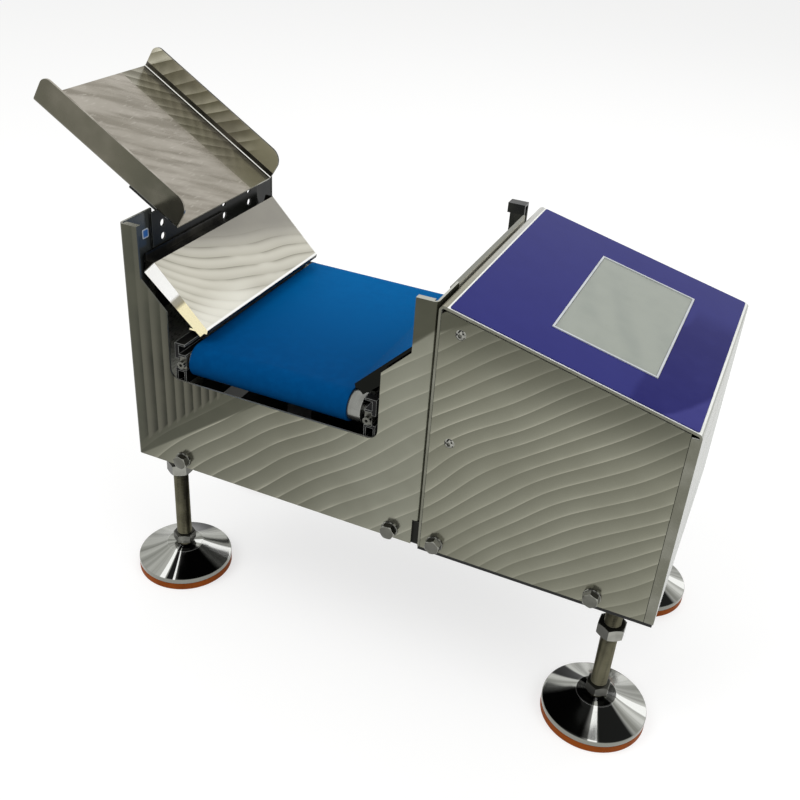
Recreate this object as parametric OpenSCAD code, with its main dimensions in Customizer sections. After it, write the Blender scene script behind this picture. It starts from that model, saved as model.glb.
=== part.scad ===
// Checkweigher: infeed chute, weighing belt between two guide plates, operator console, four levelling feet.
// Frame: chute at -X, console at +X, front at -Y, Z up; origin on the floor under the middle of the machine.
// Inside placed() X counts from the housing's left face, Y from mid depth, Z from the panels' lower edge.

/* [Housing] */
// Width of the conveyor housing
housing_w = 304; // [296:1:330]
// Depth over the front and rear panels
depth = 260; // [252:1:300]
// Height of the horns above the panels' lower edge
panel_h = 243; // [234:1:260]
// Thickness of the folded sheet
sheet = 2; // [1.5:0.1:2.4]
// Outside radius of the sheet bends
bend_r = 4; // [3:0.5:5]
// Depth of the panels' side returns
return_d = 45; // [38:1:52]
// Lap of the side walls on the returns
wall_lap = 10; // [6:1:16]
// Radius of the notch's floor corners
notch_r = 10; // [5:1:16]
// Gap between the notch's sides and the conveyor
notch_gap = 4; // [3:0.5:8]
// Width of the horns beside the notch
horn_w = 19; // [15:1:24]
// Rise of the notch's upright sides above the guides' lower edge
shoulder_rise = 22; // [16:1:28]
// Depth of the hem behind each horn's top edge
hem_d = 6; // [4:0.5:9]
// Drop of the hook at the inner end of each hem
hook_h = 10; // [6:1:14]
// Drop of the rear notch's left shoulder below the front one
rear_shoulder_drop = 25; // [18:1:30]
// Width of the rear right horn, with its relief beside the console
rear_horn_w = 27; // [22:1:30]
// Depth of the hem behind the rear horn's top edge
rear_hem_d = 12; // [8:0.5:16]
// Width of the relief between the rear horn and the console
rear_relief_w = 9.5; // [6:0.5:12]
// Height of the relief between the rear horn and the console
rear_relief_h = 30; // [20:1:34]

/* [Base frame] */
// Height of the panels' lower edge above the floor
leg_h = 165; // [150:1:190]
// Height of the frame tubes
tube_h = 25; // [22:1:30]
// Depth of the front tube
tube_d = 25; // [22:1:28]
// Depth of the rear tube, which carries the rear feet
rear_tube_d = 32; // [31:1:36]
// Width of the cross tubes
cross_w = 30; // [29:1:34]
// Wall of the frame tubes
tube_wall = 2; // [1.5:0.1:3]
// Thickness of the console's base plate
console_base_t = 4; // [3:0.5:6]

/* [Feet] */
// Distance of the right feet from the console's right face
foot_inset_right = 36; // [30:1:50]
// Distance of the front feet from the front panels' faces
foot_inset_y = 42; // [42:1:60]
// Web of the rear tube between its left end and the foot's hole
foot_web = 1; // [0.5:0.5:4]
// Diameter of a foot disc
foot_d = 100; // [80:1:110]
// Thickness of the rubber pad
pad_t = 8; // [4:0.5:9]
// Height of the foot disc above its pad
disc_h = 20; // [14:0.5:22]
// Height of the disc's rim
rim_h = 6; // [3:0.5:7]
// Diameter of the disc's hub
hub_d = 39; // [34:1:46]
// Diameter of the threaded stem
stem_d = 16; // [14:1:18]
// Reach of the stem above the frame tubes
stem_over = 30; // [25:1:40]
// Width across the flats of the jam nut
nut_af = 24; // [22:1:27]
// Height of the jam nut
nut_h = 13; // [10:1:15]
// Gap from the foot bush down to the jam nut, left feet
nut_drop_left = 21; // [19:1:30]
// Gap from the foot bush down to the jam nut, right feet
nut_drop_right = 40; // [30:1:50]
// Outside diameter of the threaded foot bush
bush_d = 26; // [24:1:28]
// Drop of the foot bush below the frame
bush_drop = 8; // [5:0.5:10]
// Radial running clearance of the stem in its bush
stem_fit = 0.08; // [0.02:0.01:0.1]

/* [Weigher] */
// Thickness of the base plate across the frame
base_t = 6; // [5:0.5:8]
// Height of the block under the load cell's fixed end
cell_foot_h = 6; // [4:0.5:8]
// Length of the load cell
cell_l = 150; // [130:1:160]
// Width of the load cell
cell_w = 26; // [22:1:32]
// Height of the load cell
cell_h = 40; // [36:1:44]
// Length of the clamped end of the load cell
cell_clamp = 40; // [30:1:44]
// Diameter of the load cell's flexure holes
flexure_d = 26; // [22:1:30]
// Spacing of the flexure holes
flexure_pitch = 34; // [30:1:40]
// Height of the block on the load cell's free end
cell_head_h = 11; // [10:0.5:14]
// Thickness of the weigh plate
weigh_plate_t = 6; // [5:0.5:8]
// Length of the weigh plate
weigh_plate_l = 190; // [180:1:200]

/* [Belt conveyor] */
// Outside distance over the conveyor's side rails
rail_span = 206; // [200:1:212]
// Width of a side rail
rail_w = 11; // [10:0.5:13]
// Thickness of a side rail's web
web_t = 4; // [3:0.5:5]
// Thickness of a side rail's flanges
flange_t = 2; // [1.6:0.1:2.4]
// Height of the hollow chamber at the foot of a side rail
chamber_h = 15; // [12:0.5:15]
// Gap from the panels' faces to the rails' ends
rail_end = 4; // [3:0.5:6]
// Rise of the rails above the belt
rail_over = 5; // [4.5:0.5:7]
// Height of the roller axes above the weigh plate
axle_h = 21; // [21:0.5:24]
// Distance of the roller axes from the panels' faces
roller_inset = 21; // [20.5:0.5:26]
// Diameter of the rollers
roller_d = 27.4; // [26:0.2:28]
// Gap from the rollers' right ends to the rail
roller_gap = 6; // [4:0.5:9]
// Width of the belt
belt_w = 162; // [150:1:168]
// Thickness of the belt
belt_t = 2; // [1.5:0.1:2.4]
// Gap between the belt and what it runs on
belt_fit = 0.3; // [0.2:0.05:0.5]
// Gap from the left rail to the belt's edge
belt_gap = 3.2; // [2.5:0.1:5]
// Thickness of the slider bed
bed_t = 4; // [3:0.5:5]
// Gap from the slider bed to the belt round the rollers
bed_gap = 3; // [2:0.5:6]
// Diameter of the idler axle
axle_d = 10; // [8:0.5:12]
// Diameter of the drive roller's journals
journal_d = 12; // [10:0.5:14]
// Outside diameter of the drive bearings
bearing_d = 24; // [22:0.5:26]
// Thickness of the drive bearings beyond the web
bearing_t = 4; // [3:0.5:5]
// Radial running clearance of axle and journals
run_fit = 0.05; // [0.02:0.01:0.08]
// Radial seat clearance of bearings, pulleys and screws
seat_fit = 0.05; // [0.02:0.01:0.08]
// Diameter of the tension screws
tension_d = 4; // [3:0.5:5]

/* [Drive] */
// Teeth on the drive roller's pulley
drive_teeth = 18; // [16:1:18]
// Teeth on the motor's pulley
motor_teeth = 15; // [14:1:16]
// Pitch of the belt teeth
tooth_pitch = 5; // [4.6:0.1:5.1]
// Width of the pulleys over their flanges
pulley_w = 10; // [9:0.5:12]
// Thickness of the pulley flanges
pulley_flange_t = 1; // [0.8:0.1:1.5]
// Thickness of the toothed belt's back
drive_belt_t = 1.6; // [1.2:0.1:2]
// Gap between the right side rail and the drive pulley
pulley_gap = 3; // [2.5:0.5:6]
// Width of the square motor
motor_size = 42; // [38:1:44]
// Length of the motor
motor_l = 48; // [40:1:56]
// Diameter of the motor's shaft
motor_shaft_d = 6; // [5:0.5:7]
// Distance of the motor's axis in front of the drive roller's
motor_fore = 39; // [36:1:50]
// Thickness of the motor bracket
bracket_t = 4; // [3:0.5:5]

/* [Guides] */
// Reach of the guides' lower edges past the rails' outer faces
guide_reach = 23; // [20:1:26]
// Gap from the rails up to the guides' lower edges
guide_gap = 9; // [7:0.5:12]
// Rise of a guide from its lower to its upper edge
guide_rise = 55; // [48:1:58]
// Distance of the guides' upper edges inside the housing's sides
guide_in = 17; // [14:1:24]
// Width of the deflector plate
deflector_w = 212; // [196:1:224]
// Width of the right guide plate
guide_w = 246; // [220:1:246]
// Width of the guides' end lips at the top
lip_top = 17; // [8:0.5:18]
// Width of the guides' end lips at the bottom
lip_low = 12; // [5:0.5:12.5]
// Width of the guides' lower return flange
guide_foot = 20; // [14:1:22]
// Height of the guides' mounting flange
guide_flange = 9; // [6:0.5:12]
// Width of the deflector's mounting flange, from its front end
deflector_flange_w = 128; // [100:1:180]

/* [Chute] */
// Length of the chute's floor
chute_l = 176; // [140:1:200]
// Height of the chute's sides
chute_side = 28; // [20:1:36]
// Slope of the chute in degrees
chute_slope = 31.3; // [28:0.1:34]
// Distance of the chute's lower lip inside the housing's left face
chute_in = 28; // [22:1:34]
// Rise of the chute's lower lip above the deflector
chute_up = 29.5; // [26:0.5:34]
// Corner radius of the chute's sides at the upper end
chute_r = 9; // [4:1:14]
// Corner radius of the chute's sides at the lower end
chute_low_r = 14; // [6:1:18]
// Gap between the chute and the panels' returns
chute_gap = 1; // [0.6:0.1:2]
// Length of the bracket's flange under the chute
bracket_flange = 34; // [24:1:44]
// Lap of the chute's bracket on the left wall
bracket_lap = 48; // [44:1:56]
// Reach of the bracket's plate behind the panels' returns
bracket_side = 6; // [3:0.5:9]
// Diameter of the bracket's adjusting holes
adjust_d = 7; // [6:0.5:8]

/* [Console] */
// Width of the console
console_w = 215; // [205:1:230]
// Height of the console's left edge
console_h = 242; // [236:1:256]
// Height of the console's right edge
console_low = 189; // [180:1:200]
// Gap between the housing and the console
seam = 1; // [0.5:0.5:2]
// Width of the console's front strip at its right edge
strip_w = 8; // [6:0.5:12]
// Gap round the console's end panels
panel_gap = 0.4; // [0.2:0.1:0.8]
// Gap under the wrap's edge above the console's end panels
top_gap = 1.2; // [0.4:0.1:2]
// Margin of the overlay from the console's upper edge
overlay_left = 8.5; // [6:0.5:20]
// Margin of the overlay from the console's lower edge
overlay_right = 3.5; // [3.5:0.5:10]
// Margin of the overlay from the console's front edge
overlay_front = 2; // [1.5:0.5:10]
// Margin of the overlay from the console's rear edge
overlay_rear = 2; // [1:0.5:10]
// Thickness of the overlay
overlay_t = 0.8; // [0.5:0.1:1.2]
// Corner radius of the overlay
overlay_r = 2; // [1:0.5:10]
// Length of the screen down the slope
screen_l = 88; // [78:1:96]
// Width of the screen
screen_w = 162; // [150:1:176]
// Distance of the screen from the console's upper edge
screen_in = 84; // [74:1:94]
// Width of the screen's bezel
bezel_w = 2; // [1.5:0.5:6]
// Height of the bezel
bezel_t = 1.6; // [1.3:0.1:2.4]
// Thickness of the touch screen
glass_t = 4; // [3.4:0.1:5]
// Depth of the screen module
module_t = 30; // [24:1:40]

/* [Fasteners and power] */
// Diameter of the panel bolts
bolt_d = 8; // [6:0.5:8]
// Width across the flats of the panel bolts' heads
bolt_af = 13; // [12:0.5:14]
// Height of the panel bolts' heads
bolt_head_h = 6; // [5:0.5:7]
// Height of the panel bolts above the panels' lower edge
bolt_up = 9; // [8.5:0.5:12]
// Distance of the outer housing bolts from the housing's left face
bolt_in = 54; // [45:1:70]
// Diameter of the console's panel screws
screw_d = 5; // [4:0.5:6]
// Width of the power inlet's cut-out
inlet_w = 47; // [44:1:52]
// Height of the power inlet's cut-out
inlet_h = 27; // [25:1:32]
// Height of the power inlet's middle above the panels' lower edge
inlet_up = 62; // [52:1:90]
// Tilt of the rocker switch at rest in degrees
rocker_tilt = 8; // [6:1:9]

/* [Hidden] */
$fn = 48;
// Overshoot of cutting tools past a face
cut = 1;
// Clearance of screws in plain holes
hole_gap = 0.25;

// Console, from the housing's left face
cx0 = housing_w + seam;
cx1 = cx0 + console_w;
fall = atan((console_h - console_low) / console_w);
slope_l = console_w / cos(fall);
inner_y = depth / 2 - sheet;

// Weigher stack, upwards from the frame
cell_z = tube_h + base_t + cell_foot_h;
plate_z = cell_z + cell_h + cell_head_h;
conv_z = plate_z + weigh_plate_t;
axle_z = conv_z + axle_h;
mid_x = housing_w / 2;

// Conveyor
conv_x0 = mid_x - rail_span / 2;
conv_x1 = mid_x + rail_span / 2;
roller_y = depth / 2 - roller_inset;
belt_in_r = roller_d / 2 + belt_fit;
belt_r = belt_in_r + belt_t;
rail_h = axle_h + belt_r + rail_over;
rail_y = depth / 2 - rail_end;
belt_x = conv_x0 + rail_w + belt_gap;
roller_x0 = belt_x - belt_gap / 2;
roller_x1 = conv_x1 - rail_w - roller_gap;
notch_floor = conv_z + axle_h - belt_r;
notch_x = conv_x0 - notch_gap;
tension_block = 6;
tension_in = 1;
bearing_lip = 1.5;
bed_z = axle_z + belt_in_r - belt_fit - bed_t;
idler_wall = 2.6;
collar_t = 3;

// Drive
pulley_x = conv_x1 + pulley_gap;
drive_r = pulley_r(drive_teeth);
motor_r = pulley_r(motor_teeth);
motor_y = roller_y - motor_fore;
motor_gap = 3;
motor_z = plate_z - bracket_t - motor_gap - motor_size / 2;
motor_x1 = conv_x1 - rail_w - roller_gap;
boss_r = motor_size / 4;
boss_h = 2;

// Guides, lower edge and upper edge of the sliding face
low_x = conv_x0 + guide_reach;
low_z = conv_z + rail_h + guide_gap;
top_x = guide_in;
top_z = low_z + guide_rise;
shoulder_z = low_z + shoulder_rise;
wall_top = top_z - guide_flange;

// Chute
lip_z = top_z + chute_up;
chute_w = depth - 2 * return_d - 2 * chute_gap;
chute_reach = chute_l * cos(chute_slope) + sheet * sin(chute_slope) - chute_in;
bracket_x = 2 * sheet;
bracket_top = lip_z + (chute_in - bracket_x - sheet) * tan(chute_slope) - sheet / cos(chute_slope);

// Feet: name, distance from the housing's left face, place in Y, gap down to the jam nut
foot_left = bend_r + foot_web + bush_d / 2;
foot_right = cx1 - foot_inset_right;
front_foot_y = foot_inset_y - depth / 2;
rear_foot_y = inner_y - rear_tube_d / 2;
FEET = [
    ["front_left", foot_left, front_foot_y, nut_drop_left],
    ["front_right", foot_right, front_foot_y, nut_drop_right],
    ["rear_left", foot_left, rear_foot_y, nut_drop_left],
    ["rear_right", foot_right, rear_foot_y, nut_drop_right],
];
ball_r = stem_d / 2;
ball_fit = 0.3;
ball_z = pad_t + disc_h - ball_r / 2 - ball_fit;
neck_r = ball_r - 2;
key_gap = 3.5;
hex_z = pad_t + disc_h + key_gap;
hex_h = 10;

// Fasteners
washer_t = 1.6;
shank_in = 6;
shank_l = sheet + tube_wall + shank_in;
bolt_side = 16;
bolt_clear = 3;
console_bolts = [cx0 + bolt_side, foot_right - cross_w / 2 - bolt_clear];
housing_bolts = [bolt_in, housing_w - bolt_in / 2];
screw_x = cx0 + 20;
screw_drop = 22;
screw_heights = [console_h - screw_drop, console_h / 2 - 3];
tab_w = 36;
chute_bolt_r = 3;
chute_bolt_in = 24;
chute_bolt_edge = 12;
chute_bolt_y = chute_w / 2 - chute_bolt_in;
chute_bolt_heights = [wall_top - bracket_lap + chute_bolt_edge, wall_top - chute_bolt_edge];

// Board and power supply on the console's base plate, between the frame tubes
gear_in = 30;
gear_gap = 7;
gear_front = tube_d + gear_gap - inner_y;
gear_rear = inner_y - rear_tube_d - gear_gap;
board_w = 110;
board_d = 78;
board_t = 1.6;
board_post_h = 10;
board_edge = 6;
terminal_h = 12;
supply_w = 110;
supply_d = 80;
supply_h = 38;

// Power inlet on the console's rear
inlet_x = cx0 + tab_w + inlet_w;
inlet_face_t = 2;
inlet_body_d = 24;
rocker_x = inlet_x + inlet_w / 4 + 1;
rocker_w = 12;
rocker_h = 18;
rocker_depth = 10;
rocker_gap = 0.6;
rocker_pivot = 3;

// Whole machine: the box runs from the chute's upper end to the right feet, and from the front feet or
// bolt heads to the rear feet
x_max = max(cx1, foot_right + foot_d / 2);
x_left = (chute_reach - x_max) / 2;
bolt_reach = depth / 2 + washer_t + bolt_head_h;
y_front = max(foot_d / 2 - front_foot_y, bolt_reach);
y_rear = max(foot_d / 2 + rear_foot_y, bolt_reach);
y_mid = (y_front - y_rear) / 2;

// Tip radius of a toothed pulley
function pulley_r(teeth) = teeth * tooth_pitch / (2 * PI) - 0.4;

// Height of the console's top face at x
function slope_z(x) = console_h - (x - cx0) * tan(fall);

// Arc that rounds the corner b between a and c to radius r
function rounded(a, b, c, r) =
    let (
        u = (a - b) / norm(a - b),
        v = (c - b) / norm(c - b),
        half = acos(u * v) / 2,
        mid = b + (u + v) / norm(u + v) * r / sin(half),
        from = b + u * r / tan(half) - mid,
        to = b + v * r / tan(half) - mid,
        steps = 6
    )
    [for (i = [0:steps])
        let (p = from * (steps - i) + to * i)
        mid + p / norm(p) * r];

// Carries what is drawn to the machine's place above the floor
module placed() {
    translate([x_left, y_mid, leg_h]) children();
}

// Extrudes an outline drawn in X and Z from y to y + length
module along_y(y, length) {
    translate([0, y + length, 0]) rotate([90, 0, 0]) linear_extrude(length) children();
}

// Extrudes an outline drawn in Y and Z from x to x + length
module along_x(x, length) {
    translate([x, 0, 0]) rotate([90, 0, 90]) linear_extrude(length) children();
}

// Round bar along X
module bar_x(x, y, z, length, r) {
    translate([x, y, z]) rotate([0, 90, 0]) cylinder(r = r, h = length);
}

// Round bar along Y
module bar_y(x, y, z, length, r) {
    translate([x, y, z]) rotate([-90, 0, 0]) cylinder(r = r, h = length);
}

// Box between two corners
module block(a, b) {
    translate(a) cube(b - a);
}

// Mirrors the front of the machine to its rear
module rear(side) {
    if (side > 0) mirror([0, 1, 0]) children();
    else children();
}

// Mirrors the infeed side of the housing to the console side
module right_half() {
    translate([housing_w, 0, 0]) mirror([1, 0, 0]) children();
}

// Console's sloped top: X down the slope from the upper edge, Z out of the top
module on_slope() {
    translate([cx0, 0, console_h]) rotate([0, fall, 0]) children();
}

// Chute's floor: X along the floor towards the lower lip at 0, Z out of the floor
module on_chute() {
    translate([chute_in, 0, lip_z]) rotate([0, chute_slope, 0]) children();
}

// Plan of a folded channel: a web with a return at each end
module channel_plan(w, d) {
    translate([bend_r, 0]) square([w - 2 * bend_r, sheet]);
    for (x = [0, w - sheet])
        translate([x, bend_r]) square([sheet, d - bend_r]);
    for (side = [0, 1])
        translate([side * w, 0]) mirror([side, 0])
            intersection() {
                square(bend_r);
                translate([bend_r, bend_r]) difference() {
                    circle(bend_r);
                    circle(bend_r - sheet);
                }
            }
}

// Rectangle with round corners about the origin
module round_rect(l, w, r) {
    square([l - 2 * r, w], center = true);
    square([l, w - 2 * r], center = true);
    for (x = [-1, 1])
        for (y = [-1, 1])
            translate([x * (l / 2 - r), y * (w / 2 - r)]) circle(r);
}

// Product notch: round floor corners, upright sides, then a splay up to the horns
// Each side is given as its distance from that end of the panel, the horn's width and the shoulder's height
module notch_outline(left, right) {
    x0 = left[0];
    x1 = housing_w - right[0];
    low = notch_floor + notch_r;
    translate([x0 + notch_r, notch_floor]) square([x1 - x0 - 2 * notch_r, notch_r + cut]);
    for (x = [x0 + notch_r, x1 - notch_r])
        translate([x, low]) circle(notch_r);
    polygon([
        [x0, low], [x0, left[2]], [left[1], left[2] + left[0] - left[1]], [left[1], panel_h + cut],
        [housing_w - right[1], panel_h + cut], [housing_w - right[1], right[2] + right[0] - right[1]],
        [x1, right[2]], [x1, low],
    ]);
}

// Folded housing panel: returns at both ends, the notch, relief for the frame tube
module housing_panel(left, right) {
    relief = bend_r + sheet;
    difference() {
        translate([0, -depth / 2, 0]) linear_extrude(panel_h) channel_plan(housing_w, return_d);
        along_y(-depth / 2 - cut, sheet + 2 * cut) notch_outline(left, right);
        block([housing_w - relief, -depth / 2 - cut, -cut],
              [housing_w + cut, -depth / 2 + return_d + cut, tube_h + sheet]);
        for (x = housing_bolts)
            bar_y(x, -depth / 2 - cut, bolt_up, sheet + 2 * cut, bolt_d / 2 + hole_gap);
    }
}

// Hem folded back from a horn's top edge between x0 and x1
module horn_hem(x0, x1, d) {
    block([x0, -inner_y - sheet / 2, panel_h - sheet], [x1, -depth / 2 + d, panel_h]);
}

// Wall between the returns of the front and rear panels, drawn for the infeed side
module housing_wall(low, high) {
    y = depth / 2 - return_d + wall_lap;
    block([sheet, -y, low], [2 * sheet, y, high]);
}

// Front panel: each horn has a hem with a hook at its inner end
module front_panel() {
    side = [notch_x, horn_w, shoulder_z];
    color("lightgray") placed() {
        housing_panel(side, side);
        for (x = [bend_r, housing_w - horn_w])
            horn_hem(x, x + horn_w - bend_r, hem_d);
        for (x = [horn_w - sheet, housing_w - horn_w])
            block([x, -inner_y - sheet / 2, panel_h - hook_h], [x + sheet, -depth / 2 + hem_d, panel_h]);
    }
}

// Rear panel: no horn beside the chute, and beside the console a horn whose hem ends in a lip folded down
module rear_panel() {
    x0 = housing_w - rear_horn_w;
    x1 = housing_w - rear_relief_w;
    color("lightgray") placed() rear(1) {
        difference() {
            housing_panel([notch_x, sheet, shoulder_z - rear_shoulder_drop],
                          [notch_x, rear_horn_w, shoulder_z]);
            block([x1, -depth / 2 - cut, panel_h - rear_relief_h],
                  [housing_w + cut, -depth / 2 + return_d + cut, panel_h + cut]);
        }
        horn_hem(x0, x1, rear_hem_d);
        block([x0, -depth / 2 + rear_hem_d - sheet, panel_h - hook_h],
              [x1, -depth / 2 + rear_hem_d, panel_h]);
    }
}

module left_wall() {
    color("darkgray") placed() difference() {
        housing_wall(tube_h, wall_top);
        for (y = [-chute_bolt_y, chute_bolt_y])
            for (z = chute_bolt_heights)
                bar_x(sheet - cut, y, z, sheet + 2 * cut, chute_bolt_r + hole_gap);
    }
}

// Right wall: up to the console's top edge, with a cap folded towards the console between the returns
module right_wall() {
    y = depth / 2 - return_d - panel_gap;
    color("darkgray") placed() right_half() {
        housing_wall(tube_h + sheet, console_h);
        block([0, -y, console_h - sheet], [sheet + cut, y, console_h]);
    }
}

// Long frame tube of depth d behind the front panels
module long_rail(d) {
    x0 = bend_r;
    x1 = cx1 - sheet;
    y0 = -inner_y;
    y1 = -inner_y + d;
    difference() {
        block([x0, y0, 0], [x1, y1, tube_h]);
        block([x0 - cut, y0 + tube_wall, tube_wall], [x1 + cut, y1 - tube_wall, tube_h - tube_wall]);
        for (x = concat(housing_bolts, console_bolts))
            bar_y(x, y0 - cut, bolt_up, tube_wall + 2 * cut, bolt_d / 2 + hole_gap);
    }
}

module front_rail() {
    color("dimgray") placed() long_rail(tube_d);
}

// Holes for the foot bushes at a place in Y
module bush_holes(y) {
    for (x = [foot_left, foot_right])
        translate([x, y, -cut]) cylinder(d = bush_d + 2 * seat_fit, h = tube_h + 2 * cut);
}

module rear_rail() {
    color("dimgray") placed() difference() {
        rear(1) long_rail(rear_tube_d);
        bush_holes(rear_foot_y);
    }
}

// Cross tube about x, between the front and rear tubes
module cross_tube(x) {
    y0 = tube_d - inner_y;
    y1 = inner_y - rear_tube_d;
    difference() {
        block([x - cross_w / 2, y0, 0], [x + cross_w / 2, y1, tube_h]);
        block([x - cross_w / 2 + tube_wall, y0 - cut, tube_wall],
              [x + cross_w / 2 - tube_wall, y1 + cut, tube_h - tube_wall]);
    }
}

// Cross tubes beside the outer walls, with holes for the front feet, and one beside the console
module cross_rails() {
    color("dimgray") placed() {
        difference() {
            for (x = [foot_left, foot_right])
                cross_tube(x);
            bush_holes(front_foot_y);
        }
        cross_tube(housing_w - bend_r - sheet - cross_w / 2);
    }
}

// Threaded sleeves welded through the frame tubes, with a collar under the frame
module foot_bushes() {
    color("gray") placed()
        for (f = FEET)
            translate([f[1], f[2], 0]) difference() {
                translate([0, 0, -bush_drop]) cylinder(d = bush_d, h = bush_drop + tube_h);
                translate([0, 0, -bush_drop - cut])
                    cylinder(r = stem_d / 2 + stem_fit, h = bush_drop + tube_h + 2 * cut);
            }
}

module conveyor_base_plate() {
    color("silver") placed()
        block([mid_x - rail_span / 2 + rail_w, -inner_y + cut, tube_h],
              [mid_x + rail_span / 2 - rail_w, inner_y - cut, tube_h + base_t]);
}

module console_base_plate() {
    color([0.08, 0.08, 0.08]) placed() difference() {
        block([cx0, -depth / 2 + sheet / 2, -console_base_t], [cx1 - sheet / 2, depth / 2 - sheet / 2, 0]);
        for (y = [front_foot_y, rear_foot_y])
            translate([foot_right, y, -console_base_t - cut])
                cylinder(d = bush_d + 2 * hole_gap, h = console_base_t + 2 * cut);
    }
}

module load_cell_foot() {
    color("gray") placed()
        block([mid_x - cell_w / 2, -cell_l / 2, tube_h + base_t],
              [mid_x + cell_w / 2, -cell_l / 2 + cell_clamp, cell_z]);
}

// Bending beam: two flexure holes joined by a slot leave four thin hinges
module load_cell() {
    mid_z = cell_z + cell_h / 2;
    x0 = mid_x - cell_w / 2;
    color("silver") placed() difference() {
        block([x0, -cell_l / 2, cell_z], [x0 + cell_w, cell_l / 2, cell_z + cell_h]);
        for (s = [-1, 1])
            bar_x(x0 - cut, s * flexure_pitch / 2, mid_z, cell_w + 2 * cut, flexure_d / 2);
        block([x0 - cut, -flexure_pitch / 2, mid_z - flexure_d / 4],
              [x0 + cell_w + cut, flexure_pitch / 2, mid_z + flexure_d / 4]);
    }
}

module load_cell_head() {
    color("gray") placed()
        block([mid_x - cell_w / 2, cell_l / 2 - cell_clamp, cell_z + cell_h],
              [mid_x + cell_w / 2, cell_l / 2, plate_z]);
}

// Plate carried by the load cell, lightened by two holes
module weigh_plate() {
    hole_r = rail_span / 9;
    color("silver") placed() difference() {
        block([conv_x0, -weigh_plate_l / 2, plate_z], [conv_x1, weigh_plate_l / 2, conv_z]);
        for (x = [-1, 1])
            translate([mid_x + x * rail_span / 4, -weigh_plate_l / 5, plate_z - cut])
                cylinder(r = hole_r, h = weigh_plate_t + 2 * cut);
    }
}

// Extruded section of a side rail: hollow chamber below, channel for the axle, channel for the bed's edge
module rail_section() {
    inner_x = conv_x0 + web_t;
    difference() {
        translate([conv_x0, conv_z]) square([rail_w, rail_h]);
        translate([conv_x0 + flange_t, conv_z + flange_t])
            square([rail_w - 2 * flange_t, chamber_h - 2 * flange_t]);
        translate([inner_x, conv_z + chamber_h])
            square([rail_w - web_t + cut, bed_z - flange_t - conv_z - chamber_h]);
        translate([inner_x, bed_z])
            square([rail_w - web_t + cut, conv_z + rail_h - flange_t - bed_z]);
    }
}

// Side rail for the infeed side: slot for the idler axle in front, bearing seat and pocket at the rear
module conveyor_rail() {
    slot_h = axle_d + 2 * seat_fit;
    slot_y = -roller_y + axle_d / 2 + seat_fit;
    pocket_r = bearing_d / 2 + bearing_lip + belt_fit;
    difference() {
        along_y(-rail_y, 2 * rail_y) rail_section();
        block([conv_x0 - cut, -rail_y - cut, axle_z - slot_h / 2],
              [conv_x0 + web_t + cut, slot_y - slot_h / 2, axle_z + slot_h / 2]);
        bar_x(conv_x0 - cut, slot_y - slot_h / 2, axle_z, web_t + 2 * cut, slot_h / 2);
        bar_x(conv_x0 - cut, roller_y, axle_z, web_t + 2 * cut, bearing_d / 2 + seat_fit);
        bar_x(conv_x0 + web_t, roller_y, axle_z, rail_w, pocket_r);
    }
}

module rail_left() {
    color([0.1, 0.1, 0.1]) placed() conveyor_rail();
}

module rail_right() {
    color([0.1, 0.1, 0.1]) placed() right_half() conveyor_rail();
}

// Bed that carries the upper run of the belt, its edges on the rails' middle flanges
module slider_bed() {
    y = roller_y - belt_r - bed_gap;
    color("silver") placed()
        block([conv_x0 + web_t, -y, bed_z], [conv_x1 - web_t, y, bed_z + bed_t]);
}

// Fixed axle of the idler roller with a collar outside each rail
module idler_axle() {
    color("silver") placed() {
        bar_x(conv_x0 - collar_t, -roller_y, axle_z, rail_span + 2 * collar_t, axle_d / 2);
        for (x = [conv_x0 - collar_t, conv_x1])
            bar_x(x, -roller_y, axle_z, collar_t, axle_d / 2 + 3);
    }
}

// Block in each rail's front end with the socket screw that pulls the idler axle
module tension_screws() {
    x0 = conv_x0 + web_t;
    x1 = conv_x0 + rail_w;
    y0 = -rail_y + tension_in;
    head_d = x1 - x0;
    socket_r = tension_d * 0.45;
    color("gray") placed()
        for (s = [0, 1])
            translate([s * housing_w, 0, 0]) mirror([s, 0, 0]) difference() {
                union() {
                    block([x0, y0, conv_z + chamber_h], [x1, y0 + tension_block, bed_z - flange_t]);
                    bar_y((x0 + x1) / 2, y0, axle_z,
                          -roller_y - axle_d / 2 - belt_fit - y0, tension_d / 2);
                    bar_y((x0 + x1) / 2, y0 - tension_d, axle_z, tension_d + tension_in, head_d / 2);
                }
                translate([(x0 + x1) / 2, y0 - tension_d / 2, axle_z]) rotate([90, 0, 0])
                    cylinder(r = socket_r, h = tension_d, $fn = 6);
            }
}

// Flanged bearings of the drive roller, seated in the rail webs
module drive_bearings() {
    color("silver") placed()
        for (s = [0, 1])
            translate([s * housing_w, 0, 0]) mirror([s, 0, 0])
                difference() {
                    union() {
                        bar_x(conv_x0, roller_y, axle_z, web_t + bearing_t, bearing_d / 2);
                        bar_x(conv_x0 + web_t, roller_y, axle_z, bearing_lip, bearing_d / 2 + bearing_lip);
                    }
                    bar_x(conv_x0 - cut, roller_y, axle_z, web_t + bearing_t + 2 * cut,
                          journal_d / 2 + run_fit);
                }
}

// Outline of the belt loop round both rollers
module loop_outline(r) {
    translate([-roller_y, -r]) square([2 * roller_y, 2 * r]);
    for (s = [-1, 1])
        translate([s * roller_y, 0]) circle(r);
}

module conveyor_belt() {
    color([0, 0.31, 0.55]) placed() translate([0, 0, axle_z])
        along_x(belt_x, belt_w) difference() {
            loop_outline(belt_r);
            loop_outline(belt_in_r);
        }
}

module drive_roller() {
    x0 = conv_x0 - sheet / 2;
    x1 = pulley_x + pulley_w;
    color("silver") placed() {
        bar_x(roller_x0, roller_y, axle_z, roller_x1 - roller_x0, roller_d / 2);
        bar_x(x0, roller_y, axle_z, x1 - x0, journal_d / 2);
    }
}

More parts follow.
